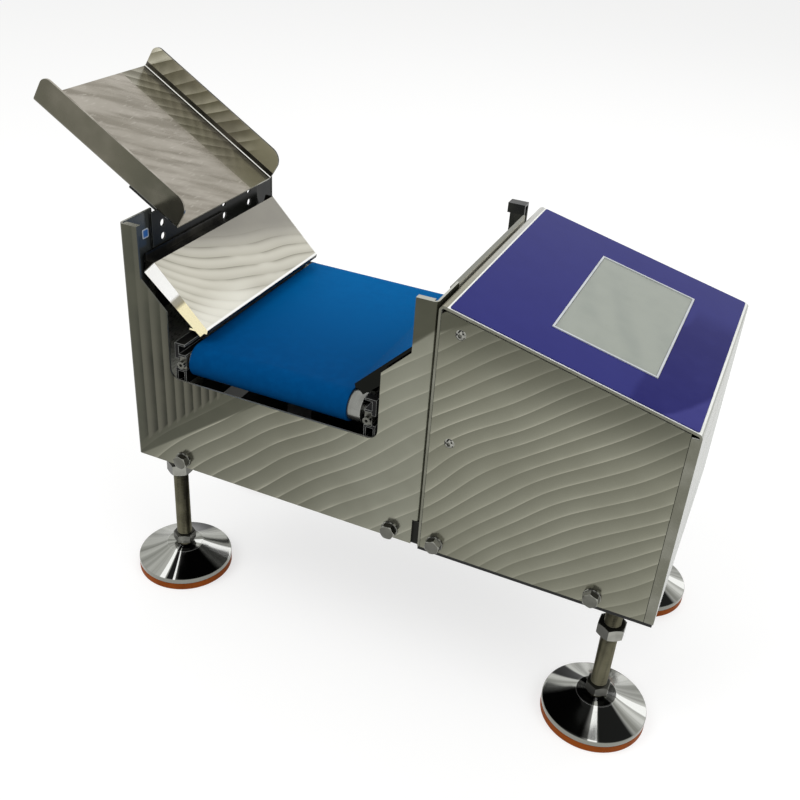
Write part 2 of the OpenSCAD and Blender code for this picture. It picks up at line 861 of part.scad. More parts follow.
// Toothed pulley along X: trapezoid tooth gaps between two flanges
module toothed_pulley(teeth, bore_r) {
    r = pulley_r(teeth);
    gap_d = 1.9;
    gap_w = tooth_pitch * 0.5;
    root_w = tooth_pitch * 0.36;
    rotate([0, 90, 0]) difference() {
        union() {
            linear_extrude(pulley_w) difference() {
                circle(r);
                for (i = [0:teeth - 1])
                    rotate(i * 360 / teeth)
                        polygon([
                            [r - gap_d, -root_w / 2], [r + cut, -gap_w / 2],
                            [r + cut, gap_w / 2], [r - gap_d, root_w / 2],
                        ]);
            }
            for (z = [0, pulley_w - pulley_flange_t])
                translate([0, 0, z]) cylinder(r = r + drive_belt_t + cut / 2, h = pulley_flange_t);
        }
        translate([0, 0, -cut]) cylinder(r = bore_r, h = pulley_w + 2 * cut);
    }
}

module drive_pulley() {
    color("gray") placed()
        translate([pulley_x, roller_y, axle_z]) toothed_pulley(drive_teeth, journal_d / 2 + seat_fit);
}

// Tube with bearings pressed in its ends
module idler_roller() {
    length = roller_x1 - roller_x0;
    color("silver") placed() difference() {
        bar_x(roller_x0, -roller_y, axle_z, length, roller_d / 2);
        bar_x(roller_x0 - cut, -roller_y, axle_z, length + 2 * cut, roller_d / 2 - idler_wall);
    }
}

module idler_bearings() {
    width = 10;
    color("gray") placed()
        for (x = [roller_x0, roller_x1 - width])
            difference() {
                bar_x(x, -roller_y, axle_z, width, roller_d / 2 - idler_wall - seat_fit);
                bar_x(x - cut, -roller_y, axle_z, width + 2 * cut, axle_d / 2 + run_fit);
            }
}

// Square motor with bevelled edges and a round pilot on its face
module motor() {
    bevel = motor_size / 9;
    h = motor_size / 2;
    color([0.15, 0.15, 0.15]) placed() difference() {
        union() {
            translate([0, motor_y, motor_z]) along_x(motor_x1 - motor_l, motor_l)
                polygon([
                    [-h + bevel, -h], [h - bevel, -h], [h, -h + bevel], [h, h - bevel],
                    [h - bevel, h], [-h + bevel, h], [-h, h - bevel], [-h, -h + bevel],
                ]);
            bar_x(motor_x1, motor_y, motor_z, boss_h, boss_r);
        }
        bar_x(motor_x1 - motor_l / 2, motor_y, motor_z, motor_l, motor_shaft_d / 2 + run_fit);
    }
}

// Angle bracket: face plate on the motor's pilot, top flange under the weigh plate
module motor_bracket() {
    h = motor_size / 2;
    color("silver") placed() difference() {
        union() {
            block([motor_x1, motor_y - h, motor_z - h], [motor_x1 + bracket_t, motor_y + h, plate_z]);
            block([motor_x1 - motor_l / 2, motor_y - h, plate_z - bracket_t],
                  [motor_x1 + bracket_t, motor_y + h, plate_z]);
        }
        bar_x(motor_x1 - cut, motor_y, motor_z, bracket_t + 2 * cut, boss_r + seat_fit);
    }
}

module motor_pulley() {
    x0 = motor_x1 - motor_l / 2 + cut;
    color("gray") placed() {
        bar_x(x0, motor_y, motor_z, pulley_x + pulley_w - x0, motor_shaft_d / 2);
        translate([pulley_x, motor_y, motor_z]) toothed_pulley(motor_teeth, motor_shaft_d / 2 - run_fit);
    }
}

// Outline of the toothed belt's loop, a given distance outside the pulleys' tips
module drive_loop(out) {
    hull() {
        translate([roller_y, axle_z]) circle(drive_r + out, $fn = 64);
        translate([motor_y, motor_z]) circle(motor_r + out, $fn = 64);
    }
}

module timing_belt() {
    side = pulley_flange_t + belt_fit;
    color([0.1, 0.1, 0.1]) placed()
        along_x(pulley_x + side, pulley_w - 2 * side) difference() {
            drive_loop(belt_fit + drive_belt_t);
            drive_loop(belt_fit);
        }
}

// Folded guide for the infeed side: sloped sliding face, end lips, lower return, and at x a mounting flange
// that runs flange_w from the front end
module guide_plate(w, x, flange_w) {
    top = [top_x, top_z];
    low = [low_x, low_z];
    n = [guide_rise, low_x - top_x] / norm(low - top);
    along_y(-w / 2, w) {
        polygon([top, low, low - n * sheet, top - n * sheet]);
        translate([low_x - guide_foot, low_z - 2 * sheet]) square([guide_foot - sheet / 2, sheet]);
        polygon([low, low - n * sheet, low - [sheet, 2 * sheet], low - [sheet / 2, 2 * sheet]]);
    }
    along_y(-w / 2, flange_w) {
        translate([x, top_z - sheet]) square([top_x - x, sheet]);
        translate([x, top_z - sheet]) square([sheet, guide_flange]);
    }
    for (y = [-w / 2, w / 2 - sheet])
        along_y(y, sheet)
            polygon([top, low, low - n * lip_low, top - n * lip_top, [top_x - lip_top / 2, top_z]]);
}

module deflector_plate() {
    color("gainsboro") placed() guide_plate(deflector_w, bracket_x + sheet, deflector_flange_w);
}

module right_guide_plate() {
    color("gainsboro") placed() right_half() guide_plate(guide_w, 2 * sheet, guide_w);
}

// Cuts a round corner of radius r at one end of the chute's sides
module chute_corner(r) {
    translate([0, -chute_w / 2 - cut, 0]) difference() {
        block([-r, 0, -r], [cut, chute_w + 2 * cut, cut]);
        bar_y(-r, -cut, -r, chute_w + 4 * cut, r);
    }
}

// Folded trough with round side corners
module chute() {
    color("gainsboro") placed() on_chute() difference() {
        translate([0, -chute_w / 2, -sheet])
            along_x(-chute_l, chute_l) channel_plan(chute_w, chute_side + sheet);
        translate([0, 0, chute_side]) chute_corner(chute_low_r);
        translate([-chute_l, 0, chute_side]) mirror([1, 0, 0]) chute_corner(chute_r);
    }
}

// Upright plate with columns of adjusting holes, folded along the chute's underside
module chute_bracket() {
    y = chute_w / 2 - sheet;
    plate_y = depth / 2 - return_d + bracket_side;
    hole_pitch = 13;
    hole_drop = 14;
    columns = [-y + adjust_d, chute_w / 6, y - adjust_d];
    color([0.25, 0.25, 0.25]) placed() {
        difference() {
            block([bracket_x, -plate_y, wall_top - bracket_lap], [bracket_x + sheet, plate_y, bracket_top]);
            for (c = columns)
                for (i = [0:2])
                    bar_x(bracket_x - cut, c, bracket_top - hole_drop - i * hole_pitch,
                          sheet + 2 * cut, adjust_d / 2);
            for (s = [-chute_bolt_y, chute_bolt_y])
                for (z = chute_bolt_heights)
                    bar_x(bracket_x - cut, s, z, sheet + 2 * cut, chute_bolt_r + hole_gap);
        }
        on_chute() {
            x1 = -(chute_in - bracket_x - sheet) / cos(chute_slope) + sheet * tan(chute_slope);
            block([x1 - bracket_flange, -y, -2 * sheet], [x1, y, -sheet]);
        }
    }
}

// Bolts that clamp the bracket to the left wall, with a nut outside
module chute_bolts() {
    head_h = 4;
    nut = 5;
    x0 = sheet - nut - chute_bolt_r;
    color("silver") placed()
        for (y = [-chute_bolt_y, chute_bolt_y])
            for (z = chute_bolt_heights) {
                bar_x(x0, y, z, bracket_x + sheet - x0, chute_bolt_r);
                bar_x(bracket_x + sheet, y, z, head_h, nut);
                translate([sheet - nut, y, z]) rotate([0, 90, 0])
                    cylinder(r = nut * 2 / sqrt(3), h = nut, $fn = 6);
            }
}

// Cross-section of the console's wrap: left wall, sloped top, right wall, with round bends
module wrap_outline() {
    drop = sheet / cos(fall);
    a = [cx0, 0];
    b = [cx0, console_h];
    c = [cx1, console_low];
    d = [cx1, 0];
    bi = [cx0 + sheet, slope_z(cx0 + sheet) - drop];
    ci = [cx1 - sheet, slope_z(cx1 - sheet) - drop];
    difference() {
        polygon(concat([a], rounded(a, b, c, bend_r), rounded(b, c, d, bend_r), [d]));
        polygon(concat(
            [[cx0 + sheet, -cut]],
            rounded([cx0 + sheet, -cut], bi, ci, bend_r - sheet),
            rounded(bi, ci, [cx1 - sheet, -cut], bend_r - sheet),
            [[cx1 - sheet, -cut]]
        ));
    }
}

// Folded wrap with a screen window, front and rear strips, screw tabs and passages for the frame tubes
module console_wrap() {
    window_gap = 1;
    low_edge = slope_z(cx1 - strip_w) - 3 * sheet;
    color("lightgray") placed() difference() {
        union() {
            along_y(-depth / 2, depth) wrap_outline();
            for (s = [-1, 1])
                rear(s) {
                    block([cx1 - strip_w, -depth / 2, 0], [cx1 - sheet / 2, -inner_y, low_edge]);
                    block([cx0 + sheet / 2, -inner_y, tube_h + sheet],
                          [cx0 + tab_w, -inner_y + sheet, console_h - 3 * bend_r]);
                }
        }
        on_slope()
            translate([screen_in + screen_l / 2, 0, -2 * sheet])
                linear_extrude(4 * sheet)
                    square([screen_l + 2 * window_gap, screen_w + 2 * window_gap], center = true);
        for (s = [-1, 1])
            rear(s) {
                tube = s > 0 ? rear_tube_d : tube_d;
                block([cx0 - cut, -inner_y - panel_gap, -cut],
                      [cx0 + sheet + cut, -inner_y + tube + panel_gap, tube_h + panel_gap]);
                for (z = screw_heights)
                    bar_y(screw_x, -inner_y - cut, z, sheet + 2 * cut, screw_d / 2 + hole_gap);
            }
    }
}

// End panel set inside the wrap
module console_end() {
    x0 = cx0 + sheet + panel_gap;
    x1 = cx1 - strip_w - panel_gap;
    drop = sheet / cos(fall) + top_gap;
    along_y(-depth / 2, sheet) difference() {
        polygon([
            [x0, 0], [x0, slope_z(x0) - drop - bend_r], [x0 + bend_r, slope_z(x0 + bend_r) - drop],
            [x1, slope_z(x1) - drop], [x1, 0],
        ]);
        for (x = console_bolts)
            translate([x, bolt_up]) circle(bolt_d / 2 + hole_gap);
        for (z = screw_heights)
            translate([screw_x, z]) circle(screw_d / 2 + hole_gap);
    }
}

module console_front_panel() {
    color("lightgray") placed() console_end();
}

module console_rear_panel() {
    color("lightgray") placed() difference() {
        rear(1) console_end();
        block([inlet_x - inlet_w / 2, inner_y - cut, inlet_up - inlet_h / 2],
              [inlet_x + inlet_w / 2, depth / 2 + cut, inlet_up + inlet_h / 2]);
    }
}

// Printed overlay with a window for the bezel
module overlay() {
    color([0.24, 0.24, 0.51]) placed() on_slope() linear_extrude(overlay_t) difference() {
        translate([(slope_l + overlay_left - overlay_right) / 2, (overlay_front - overlay_rear) / 2])
            round_rect(slope_l - overlay_left - overlay_right, depth - overlay_front - overlay_rear,
                       overlay_r);
        translate([screen_in + screen_l / 2, 0])
            square([screen_l + 2 * bezel_w + panel_gap, screen_w + 2 * bezel_w + panel_gap], center = true);
    }
}

module screen_bezel() {
    color("silver") placed() on_slope() translate([screen_in + screen_l / 2, 0, 0])
        linear_extrude(bezel_t) difference() {
            square([screen_l + 2 * bezel_w, screen_w + 2 * bezel_w], center = true);
            square([screen_l + panel_gap, screen_w + panel_gap], center = true);
        }
}

module touch_screen() {
    color([0.75, 0.8, 0.76]) placed() on_slope()
        translate([screen_in + screen_l / 2, 0, overlay_t - glass_t])
            linear_extrude(glass_t) square([screen_l, screen_w], center = true);
}

// Screen module: rim against the sloped top, body behind the glass
module hmi_module() {
    rim = 10;
    seat = overlay_t - glass_t;
    color([0.2, 0.2, 0.2]) placed() on_slope() translate([screen_in + screen_l / 2, 0, 0]) {
        translate([0, 0, seat - module_t]) linear_extrude(module_t)
            square([screen_l + 2 * rim, screen_w + 2 * rim], center = true);
        translate([0, 0, seat - cut]) linear_extrude(-sheet - seat + cut) difference() {
            square([screen_l + 2 * rim, screen_w + 2 * rim], center = true);
            square([screen_l + 2, screen_w + 2], center = true);
        }
    }
}

// Circuit board on four posts, with terminal strips and a processor block
module controller_board() {
    x0 = cx0 + gear_in;
    y0 = gear_rear - board_d;
    z = board_post_h + board_t;
    mid = [x0 + board_w / 2, y0 + board_d / 2];
    chip = board_d / 5;
    color("seagreen") placed() {
        block([x0, y0, board_post_h], [x0 + board_w, y0 + board_d, z]);
        for (x = [x0 + board_edge, x0 + board_w - board_edge])
            for (y = [y0 + board_edge, y0 + board_d - board_edge])
                translate([x, y, 0]) cylinder(r = board_edge / 2, h = board_post_h);
        for (s = [-1, 1])
            translate([mid[0], mid[1] + s * (board_d / 2 - 1.5 * board_edge), z])
                block([-board_w / 3, -board_edge, 0], [board_w / 3, board_edge, terminal_h]);
        translate([mid[0], mid[1], z])
            block([-chip, -chip, 0], [chip, chip, board_edge]);
    }
}

// Caged power supply with a row of vent slots in its lid
module power_supply() {
    x0 = cx0 + gear_in;
    y0 = gear_front;
    slots = 9;
    slot_w = supply_w / 28;
    slot_in = supply_d / 7;
    color("darkgray") placed() difference() {
        block([x0, y0, 0], [x0 + supply_w, y0 + supply_d, supply_h]);
        for (i = [1:slots])
            translate([x0 + i * supply_w / (slots + 1), y0, supply_h])
                block([-slot_w / 2, slot_in, -slot_w / 2], [slot_w / 2, supply_d - slot_in, cut]);
    }
}

// Rear power inlet: flange, three-pin recess and a window for the rocker switch
module power_inlet() {
    x0 = inlet_x - inlet_w / 2;
    z0 = inlet_up - inlet_h / 2;
    rim = 4;
    wall = 3;
    pin_pitch = 6;
    pin = [2, 4];
    back_y = depth / 2 - inlet_body_d;
    face_y = depth / 2 + inlet_face_t;
    recess_w = inlet_w / 2;
    color([0.08, 0.08, 0.08]) placed() difference() {
        union() {
            block([x0 + panel_gap, back_y, z0 + panel_gap],
                  [x0 + inlet_w - panel_gap, depth / 2, z0 + inlet_h - panel_gap]);
            block([x0 - rim, depth / 2, z0 - rim], [x0 + inlet_w + rim, face_y, z0 + inlet_h + rim]);
        }
        difference() {
            block([x0 + wall, back_y + 2 * wall, z0 + rim],
                  [x0 + wall + recess_w, face_y + cut, z0 + inlet_h - rim]);
            for (i = [-1, 0, 1])
                translate([x0 + wall + recess_w / 2 + i * pin_pitch, 0, inlet_up + (abs(i) - 0.5) * pin[1]])
                    block([-pin[0] / 2, back_y + wall, -pin[1] / 2],
                          [pin[0] / 2, depth / 2 - wall, pin[1] / 2]);
        }
        block([rocker_x - rocker_w / 2, depth / 2 - rocker_depth, inlet_up - rocker_h / 2],
              [rocker_x + rocker_w / 2, face_y + cut, inlet_up + rocker_h / 2]);
    }
}

// Rocker: a shallow wedge on a pivot along X, with a stub pin at each side
module rocker_switch() {
    r = rocker_h / 2 - 2;
    w = rocker_w - 2 * rocker_gap;
    dip = 2.6;
    tip = 3.4;
    root = 4;
    pin_r = 1.5;
    color([0.15, 0.15, 0.15]) placed()
        translate([rocker_x - w / 2, depth / 2 - rocker_pivot, inlet_up]) rotate([rocker_tilt, 0, 0]) {
            along_x(0, w) polygon([[-root, -r * 0.6], [tip, -r], [dip, 0], [tip, r], [-root, r * 0.6]]);
            bar_x(-rocker_gap / 2, 0, 0, rocker_w - rocker_gap, pin_r);
        }
}

// Hex bolts with washers low on the panels
module panel_bolts() {
    color("silver") placed()
        for (s = [-1, 1])
            rear(s)
                for (x = concat(housing_bolts, console_bolts)) {
                    bar_y(x, -depth / 2 - washer_t, bolt_up, shank_l + washer_t, bolt_d / 2);
                    bar_y(x, -depth / 2 - washer_t, bolt_up, washer_t, bolt_d);
                    translate([x, -depth / 2 - washer_t, bolt_up]) rotate([90, 30, 0])
                        cylinder(r = bolt_af / sqrt(3), h = bolt_head_h, $fn = 6);
                }
}

// Button-head screws of the console's end panels
module console_screws() {
    head_r = screw_d;
    color("silver") placed()
        for (s = [-1, 1])
            rear(s)
                for (z = screw_heights) {
                    bar_y(screw_x, -depth / 2 - sheet / 2, z, 4 * sheet, screw_d / 2);
                    translate([screw_x, -depth / 2, z]) rotate([90, 0, 0]) rotate_extrude()
                        intersection() {
                            translate([0, -head_r * 0.6]) circle(head_r * 1.1);
                            square([head_r * 1.2, head_r]);
                        }
                }
}

// Stem with its ball, wrench hex and jam nut
module foot_stem(f) {
    bush_low = leg_h - bush_drop;
    top = leg_h + tube_h + stem_over;
    nut_z = bush_low - f[3] - nut_h;
    color("silver") translate([x_left + f[1], y_mid + f[2], 0]) {
        translate([0, 0, ball_z]) sphere(ball_r);
        translate([0, 0, ball_z]) cylinder(r = neck_r, h = hex_z - ball_z + cut);
        translate([0, 0, hex_z]) cylinder(r = stem_d * 0.75, h = hex_h, $fn = 6);
        translate([0, 0, hex_z + hex_h - cut]) cylinder(d = stem_d, h = top - hex_z - hex_h + cut);
        translate([0, 0, nut_z]) difference() {
            cylinder(r = nut_af / sqrt(3), h = nut_h, $fn = 6);
            translate([0, 0, -cut]) cylinder(r = stem_d / 2 + seat_fit, h = nut_h + 2 * cut);
        }
    }
}

// Conical disc with a socket for the stem's ball
module foot_disc(f) {
    r = foot_d / 2;
    hub_r = hub_d / 2;
    socket_r = ball_r + ball_fit;
    floor_z = ball_z - ball_r - ball_fit;
    top = pad_t + disc_h;
    color("silver") translate([x_left + f[1], y_mid + f[2], 0]) rotate_extrude()
        polygon([
            [0, pad_t], [r, pad_t], [r, pad_t + rim_h], [hub_r, top], [socket_r, top], [socket_r, floor_z],
            [0, floor_z],
        ]);
}

// Rubber pad with a bevelled lower edge
module foot_pad(f) {
    r = foot_d / 2;
    color([0.55, 0.3, 0.12]) translate([x_left + f[1], y_mid + f[2], 0]) rotate_extrude()
        polygon([[0, 0], [r - 1, 0], [r, 1], [r, pad_t], [0, pad_t]]);
}

front_panel();
rear_panel();
left_wall();
right_wall();
front_rail();
rear_rail();
cross_rails();
foot_bushes();
conveyor_base_plate();
console_base_plate();
load_cell_foot();
load_cell();
load_cell_head();
weigh_plate();
rail_left();
rail_right();
slider_bed();
idler_axle();
tension_screws();
drive_bearings();
conveyor_belt();
motor();
motor_bracket();
timing_belt();
deflector_plate();
right_guide_plate();
chute();
chute_bracket();
chute_bolts();
console_wrap();
console_front_panel();
console_rear_panel();
overlay();
screen_bezel();
touch_screen();
hmi_module();
controller_board();
power_supply();
power_inlet();
panel_bolts();
console_screws();
drive_roller();
drive_pulley();
idler_roller();
idler_bearings();
motor_pulley();
rocker_switch();
for (f = FEET) {
    foot_stem(f);
    foot_disc(f);
    foot_pad(f);
}
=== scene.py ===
"""Dresses a compact belt checkweigher: infeed chute, weighing belt, sloped console and levelling feet.

The solids come from the frame and stay as they are. This script gives each of them its finish, replaces the
feet and the fasteners by pieces with threads, chamfers and sockets, and sets the light and the camera.
"""

import logging
import math
from dataclasses import dataclass, field
from enum import Enum

import bmesh
import bpy
import numpy as np
from mathutils import Matrix, Vector


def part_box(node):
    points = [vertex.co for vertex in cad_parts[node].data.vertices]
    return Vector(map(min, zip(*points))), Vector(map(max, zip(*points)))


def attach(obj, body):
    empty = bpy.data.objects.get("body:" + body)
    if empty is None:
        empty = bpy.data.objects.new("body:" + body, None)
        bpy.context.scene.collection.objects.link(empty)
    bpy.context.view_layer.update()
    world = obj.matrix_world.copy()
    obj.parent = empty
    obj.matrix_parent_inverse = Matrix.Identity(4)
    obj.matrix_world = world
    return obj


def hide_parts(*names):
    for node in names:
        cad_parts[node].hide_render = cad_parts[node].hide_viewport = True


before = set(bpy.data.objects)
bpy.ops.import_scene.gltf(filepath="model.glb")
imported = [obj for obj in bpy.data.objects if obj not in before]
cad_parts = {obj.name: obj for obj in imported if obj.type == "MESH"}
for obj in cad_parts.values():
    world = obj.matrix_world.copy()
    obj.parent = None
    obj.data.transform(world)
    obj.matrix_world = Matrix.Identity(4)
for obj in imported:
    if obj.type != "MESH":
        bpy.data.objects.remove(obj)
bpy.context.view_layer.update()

LOG = logging.getLogger("checkweigher")
MM = 0.001
# The width over which a mask between two halves of a sheet goes from 0 to 1
BLUR = 10 * MM
Rgb = tuple[float, float, float]
Socket = bpy.types.NodeSocket
Feed = Socket | float | tuple[float, ...]
Sectors = tuple[tuple[float, float], ...]


def linear(colour: Rgb) -> tuple[float, float, float, float]:
    """Turn a screen colour, 0 to 255 a channel, into linear light with full alpha.

    Args:
        colour: Red, green and blue as a screen shows them.

    Returns:
        The colour in linear light, followed by an alpha of 1.
    """
    screen = np.array(colour) / 255
    light = np.where(screen <= 0.04045, screen / 12.92, ((screen + 0.055) / 1.055) ** 2.4)
    return (*light.tolist(), 1.0)


class Effect(Enum):
    """The effects that several finishes share, each one node group."""

    EDGES = "edge_light"
    RIPPLES = "rippled_reflection"
    GRAIN = "fine_grain"


class Graph:
    """A node tree, with short calls for the nodes that the finishes are made of."""

    def __init__(self, tree: bpy.types.NodeTree) -> None:
        """Keep the tree that the calls fill."""
        self.tree = tree

    def node(
        self, kind: str, feeds: dict[str | int, Feed] | None = None, **settings: object
    ) -> bpy.types.Node:
        """Add a node, set it up and feed its inputs.

        Args:
            kind: The node's type name.
            feeds: What goes into each input, a socket to link or a plain value.
            **settings: Properties of the node itself.

        Returns:
            The new node.
        """
        made = self.tree.nodes.new(kind)
        for name, value in settings.items():
            setattr(made, name, value)
        for name, value in (feeds or {}).items():
            self.feed(made.inputs[name], value)
        return made

    def feed(self, socket: Socket, value: Feed) -> None:
        """Link a socket to an input, or set the input to a plain value."""
        if isinstance(value, Socket):
            self.tree.links.new(value, socket)
        else:
            socket.default_value = value

    def math(self, operation: str, first: Feed, second: Feed = 0.0, clamp: bool = False) -> Socket:
        """Give the result of one sum."""
        made = self.node("ShaderNodeMath", {0: first, 1: second}, operation=operation, use_clamp=clamp)
        return made.outputs[0]

    def times(self, first: Feed, second: Feed) -> Socket:
        """Give the product of two values."""
        return self.math("MULTIPLY", first, second)

    def plus(self, first: Feed, second: Feed) -> Socket:
        """Give the sum of two values."""
        return self.math("ADD", first, second)

    def minus(self, first: Feed, second: Feed) -> Socket:
        """Give the first value less the second."""
        return self.math("SUBTRACT", first, second)

    def rise(self, value: Feed, low: float, high: float) -> Socket:
        """Give a mask that goes smoothly from 0 at low to 1 at high, in either direction."""
        feeds = {"Value": value, "From Min": low, "From Max": high}
        return self.node("ShaderNodeMapRange", feeds, interpolation_type="SMOOTHSTEP").outputs[0]

    def mix(self, factor: Feed, first: Feed, second: Feed) -> Socket:
        """Blend from the first to the second, sockets or screen colours, as the factor goes from 0 to 1."""
        ends = [linear(end) if isinstance(end, tuple) else end for end in (first, second)]
        return self.node("ShaderNodeMix", {0: factor, 6: ends[0], 7: ends[1]}, data_type="RGBA").outputs[2]

    def split(self, vector: Socket) -> tuple[Socket, Socket, Socket]:
        """Give a vector's three parts."""
        parts = self.node("ShaderNodeSeparateXYZ", {0: vector}).outputs
        return parts[0], parts[1], parts[2]

    def place(self) -> Socket:
        """Give the point on the piece, in the frame's own metres."""
        return self.node("ShaderNodeTexCoord").outputs["Object"]

    def facing(self) -> tuple[Socket, Socket, Socket]:
        """Give the three parts of the face's outward direction."""
        return self.split(self.node("ShaderNodeTexCoord").outputs["Normal"])

    def noise(self, vector: Socket, scale: Feed, detail: float = 2.0) -> Socket:
        """Give a soft cloud of values round one half."""
        feeds = {"Vector": vector, "Scale": scale, "Detail": detail}
        return self.node("ShaderNodeTexNoise", feeds).outputs[0]

    def effect(self, effect: Effect, **feeds: Feed) -> dict[str, Socket]:
        """Place a shared effect in this tree.

        Args:
            effect: Which effect.
            **feeds: What goes into its inputs, with their names in lower case.

        Returns:
            Its outputs by name, in lower case.
        """
        made = self.node("ShaderNodeGroup", node_tree=shared_effect(effect))
        for socket in made.inputs:
            key = socket.name.lower().replace(" ", "_")
            if key in feeds:
                self.feed(socket, feeds[key])
        return {socket.name.lower(): socket for socket in made.outputs}


def emptied(owner: bpy.types.Material | bpy.types.World) -> Graph:
    """Give the graph of a material or a world, with the nodes that it came with taken out."""
    owner.use_nodes = True
    owner.node_tree.nodes.clear()
    return Graph(owner.node_tree)


def open_group(effect: Effect, inputs: dict[str, Feed], outputs: tuple[str, ...]) -> tuple[Graph, dict, dict]:
    """Start a node group with named inputs and outputs.

    Args:
        effect: The effect that the group makes.
        inputs: Each input's name and its value when nothing is linked.
        outputs: The names of the outputs.

    Returns:
        The group's graph, its inputs by name and its outputs by name.
    """
    tree = bpy.data.node_groups.new(effect.value, "ShaderNodeTree")
    for name, value in inputs.items():
        kind = "NodeSocketVector" if isinstance(value, tuple) else "NodeSocketFloat"
        tree.interface.new_socket(name, in_out="INPUT", socket_type=kind).default_value = value
    for name in outputs:
        tree.interface.new_socket(name, in_out="OUTPUT", socket_type="NodeSocketFloat")
    graph = Graph(tree)
    given = graph.node("NodeGroupInput").outputs
    wanted = graph.node("NodeGroupOutput").inputs
    return graph, {name: given[name] for name in inputs}, {name: wanted[name] for name in outputs}


def build_edges() -> None:
    """Mark the edges for a painted highlight that partly stands for rubbed wear: where the normal of a
    rounded edge leaves the face's own normal.
    """
    graph, given, wanted = open_group(Effect.EDGES, {"Radius": 0.0008, "Gain": 3.0}, ("Mask",))
    rounded = graph.node("ShaderNodeBevel", {"Radius": given["Radius"]}, samples=6).outputs[0]
    own = graph.node("ShaderNodeNewGeometry").outputs["Normal"]
    agree = graph.node("ShaderNodeVectorMath", {0: rounded, 1: own}, operation="DOT_PRODUCT").outputs["Value"]
    apart = graph.minus(1.0, agree)
    graph.feed(wanted["Mask"], graph.math("MULTIPLY", apart, given["Gain"], clamp=True))


def build_ripples() -> None:
    """Draw the wavy lines that a not quite flat sheet reflects.

    The phase is the height less a rise along the sheet, warped by a soft cloud, over the spacing. Its
    fraction is the saw-tooth band, and a high power of the rest of the fraction is the thin line.
    """
    inputs = {
        "Along": 0.0,
        "Up": 0.0,
        "Spacing": 0.02,
        "Rise": 0.4,
        "Wander": 0.012,
        "Cloud": 7.0,
        "Sharp": 9.0,
    }
    graph, given, wanted = open_group(Effect.RIPPLES, inputs, ("Line", "Band"))
    point = graph.node("ShaderNodeCombineXYZ", {0: given["Along"], 1: given["Up"]}).outputs[0]
    cloud = graph.minus(graph.noise(point, given["Cloud"], 1.0), 0.5)
    level = graph.minus(given["Up"], graph.times(given["Along"], given["Rise"]))
    warped = graph.plus(level, graph.times(graph.times(cloud, 2.0), given["Wander"]))
    band = graph.math("FRACT", graph.math("DIVIDE", warped, given["Spacing"]))
    line = graph.math("POWER", graph.minus(1.0, band), given["Sharp"])
    fade = graph.rise(graph.noise(point, graph.times(given["Cloud"], 2.3), 2.0), 0.3, 0.62)
    graph.feed(wanted["Line"], graph.times(line, graph.plus(graph.times(fade, 0.65), 0.35)))
    graph.feed(wanted["Band"], band)


def build_grain() -> None:
    """Give a surface its fine grain and, twenty times coarser, its cloudy unevenness."""
    inputs = {"Point": (0.0, 0.0, 0.0), "Scale": 900.0, "Stretch": (1.0, 1.0, 1.0)}
    graph, given, wanted = open_group(Effect.GRAIN, inputs, ("Fine", "Cloud"))
    drawn = graph.node("ShaderNodeVectorMath", {0: given["Point"], 1: given["Stretch"]}, operation="MULTIPLY")
    graph.feed(wanted["Fine"], graph.noise(drawn.outputs[0], given["Scale"], 3.0))
    graph.feed(wanted["Cloud"], graph.noise(drawn.outputs[0], graph.times(given["Scale"], 0.05), 3.0))


def shared_effect(effect: Effect) -> bpy.types.NodeTree:
    """Give the node group of an effect, building it at its first use."""
    builders = {Effect.EDGES: build_edges, Effect.RIPPLES: build_ripples, Effect.GRAIN: build_grain}
    if effect.value not in bpy.data.node_groups:
        builders[effect]()
    return bpy.data.node_groups[effect.value]


